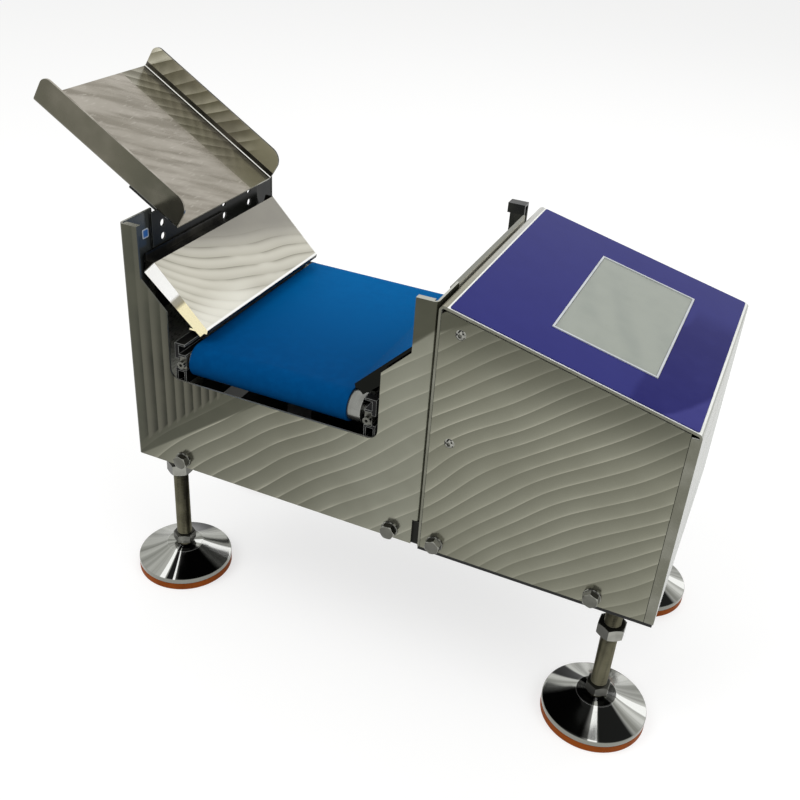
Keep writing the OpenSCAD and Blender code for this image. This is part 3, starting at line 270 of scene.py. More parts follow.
@dataclass(frozen=True)
class Finish:
    """A surface: its colour, gloss, fine grain, uneven patches and painted edge highlights.

    Attributes:
        name: The material's name.
        colour: The main colour as a screen shows it.
        patch: The colour that uneven patches go towards.
        patchy: How far the patches go, 0 to 1.
        edge: The colour of the edges: on most finishes a painted highlight, partly rubbed wear.
        edge_width: The radius over which an edge lights up, in metres.
        edge_gain: How strongly it does, 0 for not at all.
        metallic: 1 for bare metal.
        roughness: The middle roughness.
        roughness_spread: How far the grain moves the roughness.
        specular: The gloss level of what isn't metal.
        grain: Grains to the metre.
        stretch: How the grain is drawn out along the axes.
        relief: The grain's depth as bump strength.
    """

    name: str
    colour: Rgb
    patch: Rgb = (60, 60, 54)
    patchy: float = 0.2
    edge: Rgb = (225, 226, 220)
    edge_width: float = 0.8 * MM
    edge_gain: float = 2.0
    metallic: float = 0.0
    roughness: float = 0.35
    roughness_spread: float = 0.12
    specular: float = 0.5
    grain: float = 900.0
    stretch: tuple[float, float, float] = (1.0, 1.0, 1.0)
    relief: float = 0.05

    def tone(self, graph: Graph) -> Feed:
        """Give the colour before patches and edges."""
        return self.colour

    def metal(self, graph: Graph) -> Feed:
        """Give how far the surface is bare metal."""
        return self.metallic

    def lean(self, graph: Graph) -> Socket | None:
        """Give the direction that the surface shades by, or None for its own."""
        return None

    def material(self) -> bpy.types.Material:
        """Give the finish as a material, building it at its first use."""
        return bpy.data.materials.get("look_" + self.name) or self.build()

    def build(self) -> bpy.types.Material:
        """Build the material: tone, patches, painted edge highlights, uneven roughness and fine relief.

        Returns:
            The new material.
        """
        made = bpy.data.materials.new("look_" + self.name)
        graph = emptied(made)
        grain = graph.effect(Effect.GRAIN, point=graph.place(), scale=self.grain, stretch=self.stretch)
        patches = graph.times(graph.rise(grain["cloud"], 0.35, 0.75), self.patchy)
        colour = graph.mix(patches, self.tone(graph), self.patch)
        # Painted highlight along the edges, partly standing for rubbed wear
        if self.edge_gain > 0:
            edges = graph.effect(Effect.EDGES, radius=self.edge_width, gain=self.edge_gain)
            colour = graph.mix(edges["mask"], colour, self.edge)
        uneven = graph.times(graph.minus(grain["fine"], 0.5), self.roughness_spread)
        feeds = {
            "Base Color": colour,
            "Metallic": self.metal(graph),
            "Roughness": graph.math("ADD", uneven, self.roughness, clamp=True),
            "Specular IOR Level": self.specular,
        }
        lean = self.lean(graph)
        if lean:
            feeds["Normal"] = lean
        elif self.relief > 0:
            bump = {"Strength": self.relief, "Distance": 0.3 * MM, "Height": grain["fine"]}
            feeds["Normal"] = graph.node("ShaderNodeBump", bump).outputs[0]
        shader = graph.node("ShaderNodeBsdfPrincipled", feeds)
        graph.node("ShaderNodeOutputMaterial", {"Surface": shader.outputs[0]})
        return made


class Sheet(Enum):
    """The polished sheets that show wavy reflections, each in its own way."""

    HOUSING = "housing"
    CONSOLE = "console"


@dataclass(frozen=True)
class PolishedPanel(Finish):
    """Mirror-polished sheet of the upright panels, with the wavy lines that it reflects painted into its
    colour.

    Places are measured along the machine from the housing's left face, and up from the panels' lower edge.

    Attributes:
        sheet: Which panel it is.
        left: Where the housing's left face stands.
        low: Where the panels' lower edge stands.
        middle: Where the middle of the machine's depth is.
        dark: The shaded side of each band.
        line: The thin bright lines of the painted reflection.
        shade: The painted dark reflections, and the painted shade under the console's top.
        inner: The painted shade on the bent returns inside the notch.
        inner_reach: How far from the left face they lie, at most.
        rim: The painted light on the sheet's upward edges.
        hidden: The painted shade on the rear panel's inner face.
        bright: The painted lighter reflection on the housing's right part.
        bright_zone: Where that part begins, and where it is brightest.
        line_zone: The heights where the console's lines are faintest and clearest.
        spacing: The height from line to line.
        slope: How steeply the lines rise.
        wander: How far the lines stray.
        pipe_reflection_light: The light side of each upright pipe's painted reflection, low down.
        pipe_reflection_light_high: The same, high up.
        pipe_reflection_deep: The deep side of each pipe's painted reflection, low down.
        pipe_reflection_deep_high: The same, high up.
        pipe_reflection_rim: The painted reflection in the strip beside the left face.
        pipe_reflection_zone: Where the pipes' painted reflections fade out, and where they are whole.
        pipe_reflection_heights: The heights where they are deepest and faintest.
        pipe_reflection_rim_zone: Where the strip beside the left face ends, and where it is whole.
        pipe_reflection_width: The width of the first pipe's reflection.
        pipe_reflection_squeeze: How fast the pipes' reflections grow narrower, in reflections to the square
            metre.
        pipe_reflection_slope: How steeply the reflections' lower ends rise.
        pipe_reflection_jag: How far each lower end slants.
        wedge_slope: How steeply the painted dark wedge below them rises.
        shade_point: A point on the edge of the painted dark reflection in the corner under the console's top.
        shade_slope: How steeply that edge rises.
        shade_zone: Where the dark corner begins, and where it is whole.
        top_point: The upper left corner of the console's panel.
        top_fall: How steeply the console's top falls from there.
        under_depth: How far down the painted shade under the top reaches.
    """

    patchy: float = 0.25
    metallic: float = 0.75
    roughness: float = 0.2
    grain: float = 500.0
    relief: float = 0.01
    edge_gain: float = 0.0
    sheet: Sheet = Sheet.HOUSING
    left: float = 0.0
    low: float = 0.0
    middle: float = 0.0
    dark: Rgb = (102, 102, 89)
    line: Rgb = (178, 176, 160)
    shade: Rgb = (64, 65, 53)
    inner: Rgb = (66, 70, 71)
    inner_reach: float = 80 * MM
    rim: Rgb = (184, 184, 174)
    hidden: Rgb = (14, 16, 15)
    bright: Rgb = (152, 153, 139)
    bright_zone: tuple[float, float] = (170 * MM, 290 * MM)
    line_zone: tuple[float, float] = (10 * MM, 130 * MM)
    spacing: float = 19 * MM
    slope: float = 0.84
    wander: float = 22 * MM
    pipe_reflection_light: Rgb = (88, 87, 76)
    pipe_reflection_light_high: Rgb = (80, 80, 69)
    pipe_reflection_deep: Rgb = (36, 37, 28)
    pipe_reflection_deep_high: Rgb = (66, 67, 56)
    pipe_reflection_rim: Rgb = (70, 71, 60)
    pipe_reflection_zone: tuple[float, float] = (150 * MM, 120 * MM)
    pipe_reflection_heights: tuple[float, float] = (90 * MM, 200 * MM)
    pipe_reflection_rim_zone: tuple[float, float] = (18 * MM, 4 * MM)
    pipe_reflection_width: float = 14.5 * MM
    pipe_reflection_squeeze: float = 260.0
    pipe_reflection_slope: float = 0.853
    pipe_reflection_jag: float = 5 * MM
    wedge_slope: float = 0.729
    shade_point: tuple[float, float] = (284 * MM, 199 * MM)
    shade_slope: float = 0.93
    shade_zone: tuple[float, float] = (250 * MM, 258 * MM)
    top_point: tuple[float, float] = (305 * MM, 242 * MM)
    top_fall: float = 0.4
    under_depth: float = 62 * MM

    def tone(self, graph: Graph) -> Feed:
        """Give the rippled sheet with its painted dark reflections, and the painted shade on the inner
        returns.
        """
        across, depth, height = graph.split(graph.place())
        along = graph.minus(across, self.left)
        up = graph.minus(height, self.low)
        ripple = graph.effect(
            Effect.RIPPLES,
            along=along,
            up=up,
            spacing=self.spacing,
            rise=self.slope,
            wander=self.wander,
            cloud=5.5,
            sharp=11.0,
        )
        # Painted reflection: the wavy bands and their thin bright lines
        colour = graph.mix(ripple["band"], self.colour, self.dark)
        strength: Feed = 0.8
        if self.sheet is Sheet.CONSOLE:
            strength = graph.plus(graph.times(graph.rise(up, *self.line_zone), 0.45), 0.35)
        colour = graph.mix(graph.times(ripple["line"], strength), colour, self.line)
        if self.sheet is Sheet.HOUSING:
            # Painted lighter reflection towards the housing's right
            bright = graph.times(graph.rise(along, *self.bright_zone), 0.4)
            colour = self.pipe_reflections(graph, along, up, graph.mix(bright, colour, self.bright))
        colour = self.shaded_corner(graph, along, up, colour)
        outward, forward, upward = graph.facing()
        # Painted light on the faces that look up
        colour = graph.mix(graph.rise(upward, 0.7, 0.9), colour, self.rim)
        # Painted shade on the inner face of the front panel's left return
        colour = graph.mix(self.left_inside(graph), colour, self.inner)
        # Painted shade on the rear panel's inner faces
        inside = graph.times(graph.rise(forward, 0.5, 0.2), graph.rise(outward, -0.9, -0.6))
        rear = graph.times(graph.rise(depth, self.middle, self.middle + BLUR), inside)
        return graph.mix(rear, colour, self.hidden)

    def left_inside(self, graph: Graph) -> Socket:
        """Give 1 on the inner face of the front panel's left return."""
        across, depth, _ = graph.split(graph.place())
        outward, _, _ = graph.facing()
        reach = self.left + self.inner_reach
        near = graph.rise(across, reach + BLUR, reach)
        fore = graph.rise(depth, self.middle + BLUR, self.middle)
        return graph.times(graph.times(graph.rise(outward, 0.6, 0.9), near), fore)

    def metal(self, graph: Graph) -> Feed:
        """Give the metal, duller inside the front panel's left return."""
        return graph.minus(self.metallic, graph.times(self.left_inside(graph), 0.5))

    def pipe_reflections(self, graph: Graph, along: Socket, up: Socket, colour: Socket) -> Socket:
        """Add the painted reflection of the upright pipes that the left part mirrors, and the painted dark
        wedge below their ends.
        """
        # Painted reflection: a dark wedge, then light and deep upright bands above it
        wedge = graph.rise(graph.minus(up, graph.times(along, self.wedge_slope)), -4.5 * MM, -1.5 * MM)
        colour = graph.mix(graph.times(wedge, 0.85), colour, self.shade)
        squeeze = graph.times(graph.times(along, along), self.pipe_reflection_squeeze)
        pipe_phase = graph.math("FRACT", graph.plus(graph.math("DIVIDE", along, self.pipe_reflection_width), squeeze))
        ends = graph.minus(up, graph.times(along, self.pipe_reflection_slope))
        in_pipe_reflection = graph.rise(graph.minus(ends, graph.times(pipe_phase, self.pipe_reflection_jag)), 7 * MM, 9 * MM)
        high = graph.rise(up, *self.pipe_reflection_heights)
        light = graph.mix(high, self.pipe_reflection_light, self.pipe_reflection_light_high)
        deep = graph.mix(high, self.pipe_reflection_deep, self.pipe_reflection_deep_high)
        shaded = graph.mix(graph.rise(pipe_phase, 0.15, 0.95), light, deep)
        shaded = graph.mix(graph.rise(along, *self.pipe_reflection_rim_zone), shaded, self.pipe_reflection_rim)
        return graph.mix(graph.times(in_pipe_reflection, graph.rise(along, *self.pipe_reflection_zone)), colour, shaded)

    def shaded_corner(self, graph: Graph, along: Socket, up: Socket, colour: Socket) -> Socket:
        """Add the painted dark reflection in the corner where the two panels meet under the console's top,
        and on the console the painted shade below the top's edge.
        """
        start = self.shade_point[1] - self.shade_slope * self.shade_point[0]
        above = graph.minus(up, graph.plus(graph.times(along, self.shade_slope), start))
        corner = graph.times(graph.rise(above, -1.0 * MM, 2.5 * MM), graph.rise(along, *self.shade_zone))
        colour = graph.mix(graph.times(corner, 0.9), colour, self.shade)
        if self.sheet is Sheet.HOUSING:
            return colour
        # Painted shade below the console's top edge
        fallen = graph.times(graph.minus(along, self.top_point[0]), self.top_fall)
        below = graph.minus(graph.minus(self.top_point[1], fallen), up)
        under = graph.rise(below, self.under_depth, 2 * MM)
        return graph.mix(graph.times(under, 0.6), colour, self.shade)


@dataclass(frozen=True)
class GuideSheet(Finish):
    """Polished sheet of the deflector: cream with painted reflections of fanned grey lines, and a pale lip at
    its front end.

    Attributes:
        top: The upper front corner of the slanted face.
        line: The grey bands between the lines of the painted reflection.
        crest: The lines themselves.
        plain: The plain grey painted reflection in the upper rear corner.
        glare: The painted glare on the lower front part.
        glare_down: Where that part begins down the slope, and where it is whole.
        glare_along: Where it ends along the plate, and where it is whole.
        rim: The painted highlight along the lower and rear edges, and the lip's upper part.
        flange: The painted shade on the level flange along the upper edge.
        lip_low: The painted reflection on the lip's lower part.
        lip_zone: Where that part begins down the slope, and where it is whole.
        lip_band: The dark band across the lip.
        bow: What the lip's bow adds to its direction.
        length: The plate's length along the machine's depth.
        slope_length: The length of its slanted face.
        spacing: The distance from line to line.
        fan: How far from the front end the lines bend.
        settled: How steeply the lines fall after that.
    """

    top: tuple[float, float, float] = (0.0, 0.0, 0.0)
    line: Rgb = (150, 146, 130)
    crest: Rgb = (128, 124, 108)
    plain: Rgb = (150, 147, 138)
    glare: Rgb = (248, 246, 234)
    glare_down: tuple[float, float] = (44 * MM, 72 * MM)
    glare_along: tuple[float, float] = (110 * MM, 60 * MM)
    rim: Rgb = (255, 255, 252)
    flange: Rgb = (12, 12, 11)
    lip_low: Rgb = (250, 240, 198)
    lip_zone: tuple[float, float] = (40 * MM, 46 * MM)
    lip_band: Rgb = (120, 112, 82)
    bow: tuple[float, float, float] = (0.8, 0.3, 0.9)
    length: float = 0.0
    slope_length: float = 77.8 * MM
    spacing: float = 12 * MM
    fan: float = 34 * MM
    settled: float = 0.26

    def down(self, graph: Graph) -> tuple[Socket, Socket]:
        """Give the distance along the plate from its front end, and down its slope from the upper edge."""
        across, depth, height = graph.split(graph.place())
        along = graph.minus(depth, self.top[1])
        out = graph.minus(across, self.top[0])
        fallen = graph.minus(self.top[2], height)
        return along, graph.times(graph.plus(out, fallen), math.sqrt(0.5))

    def lip(self, graph: Graph) -> Socket:
        """Give 1 on the lip that closes the front end."""
        _, forward, _ = graph.facing()
        below = graph.rise(self.down(graph)[1], -0.5 * MM, 0.5 * MM)
        return graph.times(graph.rise(forward, -0.5, -0.8), below)

    def lean(self, graph: Graph) -> Socket:
        """Give the shading direction: the lip is bowed, so it mirrors the light above the console."""
        own = graph.node("ShaderNodeNewGeometry").outputs["Normal"]
        lip = self.lip(graph)
        parts = {axis: graph.times(lip, part) for axis, part in enumerate(self.bow)}
        lift = graph.node("ShaderNodeCombineXYZ", parts).outputs[0]
        leant = graph.node("ShaderNodeVectorMath", {0: own, 1: lift}, operation="ADD").outputs[0]
        return graph.node("ShaderNodeVectorMath", {0: leant}, operation="NORMALIZE").outputs[0]

    def metal(self, graph: Graph) -> Feed:
        """Give the metal: nearly all on the lip, none on the dark flange."""
        base = graph.plus(graph.times(self.lip(graph), 0.5), self.metallic)
        return graph.times(graph.minus(1.0, self.level(graph)), base)

    def level(self, graph: Graph) -> Socket:
        """Give 1 on the flange over the slanted face."""
        outward, _, upward = graph.facing()
        flat = graph.rise(graph.math("MAXIMUM", outward, upward), 0.85, 0.95)
        return graph.math("MAXIMUM", flat, graph.rise(self.down(graph)[1], -0.2 * MM, -1.0 * MM))

    def tone(self, graph: Graph) -> Feed:
        """Give the slanted face with the painted highlights on its edges, the painted shade on the flange,
        and the lip.
        """
        along, down = self.down(graph)
        # Painted highlight along the lower and rear edges
        low_edge = graph.rise(down, self.slope_length - 2.6 * MM, self.slope_length - 2.0 * MM)
        rear_edge = graph.rise(along, self.length - 1.6 * MM, self.length - 1.1 * MM)
        edges = graph.math("MAXIMUM", low_edge, rear_edge)
        colour = graph.mix(edges, self.fanned(graph, along, down), self.rim)
        # Painted shade on the flange
        colour = graph.mix(self.level(graph), colour, self.flange)
        # The lip: a painted reflection, pale above and cream below, and a dark band across it
        cream = graph.mix(graph.rise(down, *self.lip_zone), self.rim, self.lip_low)
        lip_band_mask = graph.times(graph.rise(down, 34 * MM, 38 * MM), graph.rise(down, 47 * MM, 43 * MM))
        cream = graph.mix(graph.times(lip_band_mask, 0.8), cream, self.lip_band)
        return graph.mix(self.lip(graph), colour, cream)

    def fanned(self, graph: Graph, along: Socket, down: Socket) -> Socket:
        """Give the painted reflection of a fan of lines: steep at the front end, levelling off towards the
        rear.
        """
        decay = graph.math("POWER", math.e, graph.math("DIVIDE", along, -self.fan))
        bent = graph.times(graph.minus(1.0, decay), self.fan)
        beside = graph.minus(down, graph.plus(graph.times(along, self.settled), bent))
        ripple = graph.effect(
            Effect.RIPPLES,
            along=along,
            up=beside,
            spacing=self.spacing,
            rise=0.0,
            wander=9 * MM,
            cloud=8.0,
            sharp=4.0,
        )
        lined = graph.mix(graph.times(ripple["band"], 0.55), self.colour, self.line)
        lined = graph.mix(graph.times(ripple["line"], 0.9), lined, self.crest)
        # Painted glare on the lower front part
        bright = graph.times(graph.rise(down, *self.glare_down), graph.rise(along, *self.glare_along))
        lined = graph.mix(graph.times(bright, 0.6), lined, self.glare)
        return graph.mix(graph.rise(beside, -22 * MM, -60 * MM), lined, self.plain)


@dataclass(frozen=True)
class MirrorSheet(Finish):
    """Mirror-polished sheet of the guide plate on the console side, with painted shade on its lip.

    Attributes:
        shade: The painted shade on the lip and on the side that looks to the console.
    """

    shade: Rgb = (24, 25, 23)

    def tone(self, graph: Graph) -> Feed:
        """Give the bright mirror, with painted shade on the lip at its front end and on the side towards the
        console.
        """
        outward, forward, _ = graph.facing()
        dark = graph.math("MAXIMUM", graph.rise(forward, -0.5, -0.8), graph.rise(outward, 0.2, 0.5))
        return graph.mix(dark, self.colour, self.shade)


@dataclass(frozen=True)
class WallSheet(Finish):
    """Plain sheet of the housing's walls, with a painted reflection of the sky beside the console's top.

    Attributes:
        lit: The painted reflection of the sky.
        lit_from: The height where that part begins.
    """

    lit: Rgb = (232, 229, 214)
    lit_from: float = 0.0

    def tone(self, graph: Graph) -> Feed:
        """Give the grey sheet, with a pale painted reflection high up on the faces that look to the console.
        """
        _, _, height = graph.split(graph.place())
        high = graph.rise(height, self.lit_from, self.lit_from + 8 * MM)
        bright = graph.times(high, graph.rise(graph.facing()[0], 0.5, 0.8))
        return graph.mix(bright, self.colour, self.lit)


@dataclass(frozen=True)
class BeltCover(Finish):
    """Matt blue cover of the belt, with a painted sheen that makes it paler towards the rear.

    Attributes:
        far: The paler blue of the painted sheen at the rear.
        start: Where the belt's front end is.
        length: The belt's length.
    """

    far: Rgb = (0, 94, 156)
    start: float = 0.0
    length: float = 0.0

    def tone(self, graph: Graph) -> Feed:
        """Give the blue, which goes to the paler one of the painted sheen along the machine's depth."""
        _, depth, _ = graph.split(graph.place())
        far = graph.rise(depth, self.start, self.start + self.length)
        return graph.mix(far, self.colour, self.far)


@dataclass(frozen=True)
class ChuteSheet(Finish):
    """Polished sheet of the chute: grey floor, front side in painted olive shade, rear side with painted
    stripes of reflection, and its painted mirror image on the floor.

    Attributes:
        lip: The middle of the chute's lower lip.
        half: Half the width between the sides.
        fall: The slope of the floor, in radians.
        side: The painted shade on the outside of the front side.
        side_low: The deeper painted shade on the front side near its lower end.
        side_zone: Where it begins to darken towards that end, and where it is darkest.
        stripe: The pale stripes of the painted reflection on the rear side.
        rear: The rear side between the stripes.
        rear_low: The rear side near its lower end.
        stripe_zone: Where the stripes are whole, and where they have ended.
        bend_dark_reflection: The painted dark reflection beside the rear bend, which also darkens the rear
            side's image on the floor.
        shine: The painted highlight on the rear bend.
        streak: The streaks on the floor.
        scratch: The fine scratches on the floor.
        spacing: The distance from stripe to stripe.
        side_lean: How far the stripes lean over the rear side.
        image_lean: How far they lean over its image on the floor.
        mirrored: How far the rear side's painted mirror image reaches over the floor.
    """

    lip: tuple[float, float, float] = (0.0, 0.0, 0.0)
    half: float = 0.0
    fall: float = 0.0
    side: Rgb = (92, 90, 76)
    side_low: Rgb = (66, 67, 55)
    side_zone: tuple[float, float] = (90 * MM, 10 * MM)
    stripe: Rgb = (234, 230, 210)
    rear: Rgb = (134, 130, 108)
    rear_low: Rgb = (178, 174, 150)
    stripe_zone: tuple[float, float] = (60 * MM, 30 * MM)
    bend_dark_reflection: Rgb = (30, 30, 24)
    shine: Rgb = (255, 255, 248)
    streak: Rgb = (132, 126, 114)
    scratch: Rgb = (196, 191, 180)
    spacing: float = 15 * MM
    side_lean: float = 0.86
    image_lean: float = 0.71
    mirrored: float = 39 * MM

    def tone(self, graph: Graph) -> Feed:
        """Give the floor's streaks, the front side's painted shade, and the painted stripes of the rear side
        and its painted image on the floor.
        """
        across, depth, height = graph.split(graph.place())
        back = graph.minus(self.lip[0], across)
        lift = graph.minus(height, self.lip[2])
        level, steepness = math.cos(self.fall), math.sin(self.fall)
        along = graph.plus(graph.times(back, level), graph.times(lift, steepness))
        above = graph.minus(graph.times(lift, level), graph.times(back, steepness))
        rearward = graph.minus(depth, self.lip[1])
        steep = graph.math("ABSOLUTE", graph.facing()[1])
        upright = graph.rise(steep, 0.35, 0.8)
        edge = graph.minus(self.half, rearward)
        image_slant = graph.times(graph.minus(1.0, upright), graph.times(edge, -self.image_lean))
        striped = self.striped(graph, along, graph.plus(graph.times(above, self.side_lean), image_slant))
        # Painted shade on the front side, deeper towards its lower end
        plain = graph.mix(graph.rise(along, *self.side_zone), self.side, self.side_low)
        sides = graph.mix(graph.rise(rearward, -BLUR, BLUR), plain, striped)
        far = graph.rise(rearward, 0.0, BLUR)
        # Painted dark reflection beside the rear bend
        sides = graph.mix(graph.times(far, graph.rise(above, 2.7 * MM, 2.3 * MM)), sides, self.bend_dark_reflection)
        # Painted mirror image of the rear side on the floor
        image = graph.times(graph.rise(edge, self.mirrored + 0.6 * MM, self.mirrored - 0.6 * MM), 0.9)
        floor = graph.mix(image, self.floor(graph, along, rearward), graph.mix(0.52, striped, self.bend_dark_reflection))
        # Painted dark reflection beside the rear bend, on the floor
        floor = graph.mix(graph.rise(edge, 3.2 * MM, 2.7 * MM), floor, self.bend_dark_reflection)
        # Painted highlight on the rear bend
        bend = graph.times(graph.rise(steep, 0.5, 0.6), graph.rise(steep, 0.9, 0.8))
        return graph.mix(graph.times(bend, far), graph.mix(upright, floor, sides), self.shine)

    def striped(self, graph: Graph, along: Socket, slant: Socket) -> Socket:
        """Give the painted reflection of slanting stripes, which end above the chute's lower end."""
        ripple = graph.effect(
            Effect.RIPPLES,
            along=slant,
            up=graph.plus(along, slant),
            spacing=self.spacing,
            rise=0.0,
            wander=10 * MM,
            cloud=12.0,
            sharp=1.3,
        )
        banded = graph.mix(ripple["line"], self.rear, self.stripe)
        return graph.mix(graph.rise(along, *self.stripe_zone), banded, self.rear_low)

    def floor(self, graph: Graph, along: Socket, rearward: Socket) -> Socket:
        """Give the floor's grey with slanting streaks and fine scratches."""
        level = graph.plus(along, graph.times(rearward, 0.7))
        point = graph.node("ShaderNodeCombineXYZ", {0: graph.times(rearward, 0.25), 1: level}).outputs[0]
        streak = graph.rise(graph.noise(point, 60.0, 4.0), 0.38, 0.66)
        colour = graph.mix(streak, self.colour, self.streak)
        fine = graph.node("ShaderNodeCombineXYZ", {0: along, 1: graph.times(rearward, 0.2)}).outputs[0]
        scratch = graph.rise(graph.noise(fine, 420.0, 3.0), 0.56, 0.74)
        return graph.mix(graph.times(scratch, 0.5), colour, self.scratch)


@dataclass(frozen=True)
class WrapSheet(Finish):
    """Polished sheet of the console's wrap, whose tones are painted reflections: grey left margin, white
    other margins, cloudy right wall.

    Attributes:
        margin_x: Where the overlay's left edge is.
        margin_far: Where its right edge is.
        front: Where the wrap's front edge is.
        depth: How deep the wrap is.
        margin: The painted reflection on the left margin, at the front.
        margin_rear: The painted reflection on the left margin, at the rear.
        right: The painted reflection on the strip outside the right margin.
        bend: The painted dark reflection on the thin line along the front edge.
        strip: The painted reflection on the bent edges at the front and rear, and on the faces that look
            inward.
        wall: The dark clouds of painted reflection on the right wall.
        wall_light: The right wall between them.
    """

    margin_x: float = 0.0
    margin_far: float = 0.0
    front: float = 0.0
    depth: float = 0.0
    margin: Rgb = (138, 135, 118)
    margin_rear: Rgb = (186, 186, 182)
    right: Rgb = (138, 138, 126)
    bend: Rgb = (70, 70, 60)
    strip: Rgb = (122, 122, 108)
    wall: Rgb = (172, 174, 167)
    wall_light: Rgb = (186, 188, 182)

    def tone(self, graph: Graph) -> Feed:
        """Give each face of the wrap its own tone, as painted reflections."""
        across, depth, _ = graph.split(graph.place())
        along = graph.minus(depth, self.front)
        outward, forward, _ = graph.facing()
        grey = graph.mix(graph.rise(along, 0.0, self.depth), self.margin, self.margin_rear)
        left = graph.rise(across, self.margin_x - 1.3 * MM, self.margin_x - 1.8 * MM)
        colour = graph.mix(left, self.colour, grey)
        right = graph.rise(across, self.margin_far + 1.8 * MM, self.margin_far + 2.3 * MM)
        colour = graph.mix(right, colour, self.right)
        colour = graph.mix(graph.rise(along, 0.7 * MM, 0.4 * MM), colour, self.bend)
        cloud = graph.rise(graph.noise(graph.place(), 9.0, 2.0), 0.42, 0.62)
        wall = graph.mix(cloud, self.wall_light, self.wall)
        colour = graph.mix(graph.rise(outward, 0.6, 0.9), colour, wall)
        ends = graph.rise(graph.math("ABSOLUTE", forward), 0.6, 0.9)
        inward = graph.rise(outward, -0.6, -0.9)
        return graph.mix(graph.math("MAXIMUM", ends, inward), colour, self.strip)


@dataclass(frozen=True)
class PrintedFilm(Finish):
    """Glossy violet film of the operator overlay, with the soft dark and pale areas that it reflects painted
    into its colour.

    Attributes:
        corner: The overlay's front right corner.
        deep: The painted dark reflection beside the screen.
        pale: The painted pale reflection near the front right corner.
        deep_edge: How far in from the right the dark area ends.
        pale_edge: How far in from the corner the pale patch ends.
        wander: How far both edges stray.
    """

    corner: tuple[float, float, float] = (0.0, 0.0, 0.0)
    deep: Rgb = (20, 20, 92)
    pale: Rgb = (50, 50, 118)
    deep_edge: float = 61 * MM
    pale_edge: float = 30.5 * MM
    wander: float = 30 * MM

    def tone(self, graph: Graph) -> Feed:
        """Give the violet with a painted dark reflection whose edge wanders and one painted pale reflection.
        """
        point = graph.place()
        across, depth, _ = graph.split(point)
        cloud = graph.times(graph.minus(graph.noise(point, 14.0, 2.0), 0.5), self.wander)
        inward = graph.minus(self.corner[0], across)
        back = graph.minus(depth, self.corner[1])
        edge = graph.plus(graph.plus(inward, graph.times(back, 0.12)), cloud)
        beside = graph.rise(edge, self.deep_edge + 3 * MM, self.deep_edge - 3 * MM)
        dark = graph.times(beside, graph.rise(back, 205 * MM, 160 * MM))
        colour = graph.mix(dark, self.colour, self.deep)
        reach = graph.plus(graph.plus(inward, graph.times(back, 0.55)), cloud)
        patch = graph.rise(reach, self.pale_edge + 3.5 * MM, self.pale_edge - 3.5 * MM)
        return graph.mix(patch, colour, self.pale)


@dataclass(frozen=True)
class ScreenFace(Finish):
    """Matt face of the dark touch screen, with faint slanting bands.

    Attributes:
        band: The bands.
        band_width: The bands' width, as metres to the radian.
    """

    band: Rgb = (136, 142, 134)
    band_width: float = 5.5 * MM

    def tone(self, graph: Graph) -> Feed:
        """Give the grey-green face with soft bands across it."""
        across, depth, _ = graph.split(graph.place())
        slant = graph.plus(across, graph.times(depth, 0.35))
        wave = graph.math("SINE", graph.math("DIVIDE", slant, self.band_width))
        cloud = graph.rise(graph.noise(graph.place(), 30.0), 0.3, 0.8)
        return graph.mix(graph.times(graph.rise(wave, -1.0, 1.0), cloud), self.colour, self.band)


@dataclass(frozen=True)
class TurnedChrome(Finish):
    """Turned and polished foot disc: painted reflections run out from the middle as spokes and sectors.

    Attributes:
        deep: The darkest sectors of painted reflection.
        light: The brightest sectors, painted highlights.
        band: The upright rim.
        rim_top: Height of the rim's upper edge.
        dark_sectors: The middle and half width of each dark sector, as shares of a turn.
        light_sectors: The same for the bright sectors.
    """

    deep: Rgb = (14, 15, 13)
    light: Rgb = (246, 247, 243)
    band: Rgb = (138, 139, 132)
    rim_top: float = 14 * MM
    dark_sectors: Sectors = ()
    light_sectors: Sectors = ()

    def tone(self, graph: Graph) -> Feed:
        """Give soft spokes of painted reflection from a cloud over the angle in the UV map, then the painted
        dark and bright sectors.
        """
        turn = graph.split(graph.node("ShaderNodeTexCoord").outputs["UV"])[0]
        angle = graph.times(turn, math.tau)
        ring = {0: graph.math("COSINE", angle), 1: graph.math("SINE", angle)}
        around = graph.node("ShaderNodeCombineXYZ", ring).outputs[0]
        spokes = graph.rise(graph.noise(around, 3.4, 4.0), 0.3, 0.7)
        colour = graph.mix(spokes, self.patch, self.colour)
        for sectors, shade in ((self.dark_sectors, self.deep), (self.light_sectors, self.light)):
            for middle, half in sectors:
                colour = graph.mix(self.sector(graph, turn, middle, half), colour, shade)
        _, _, height = graph.split(graph.place())
        return graph.mix(graph.rise(height, self.rim_top, self.rim_top - 0.6 * MM), colour, self.band)

    def sector(self, graph: Graph, turn: Socket, middle: float, half: float) -> Socket:
        """Give 1 within a sector, from the distance round the turn to its middle."""
        away = graph.math("FRACT", graph.plus(turn, 1.5 - middle))
        distance = graph.math("ABSOLUTE", graph.minus(away, 0.5))
        soft = 0.2 * half
        return graph.rise(distance, half + soft, half - soft)


@dataclass(frozen=True)
class ThreadSteel(Finish):
    """Steel of a threaded stem, with a painted highlight where its upper flanks catch the light.

    Attributes:
        flank: The painted highlight on the upper flanks.
    """

    flank: Rgb = (104, 101, 82)

    def tone(self, graph: Graph) -> Feed:
        """Give dark lower flanks and a painted highlight on the upper ones."""
        _, _, upward = graph.facing()
        return graph.mix(graph.rise(upward, 0.1, 0.75), self.colour, self.flank)


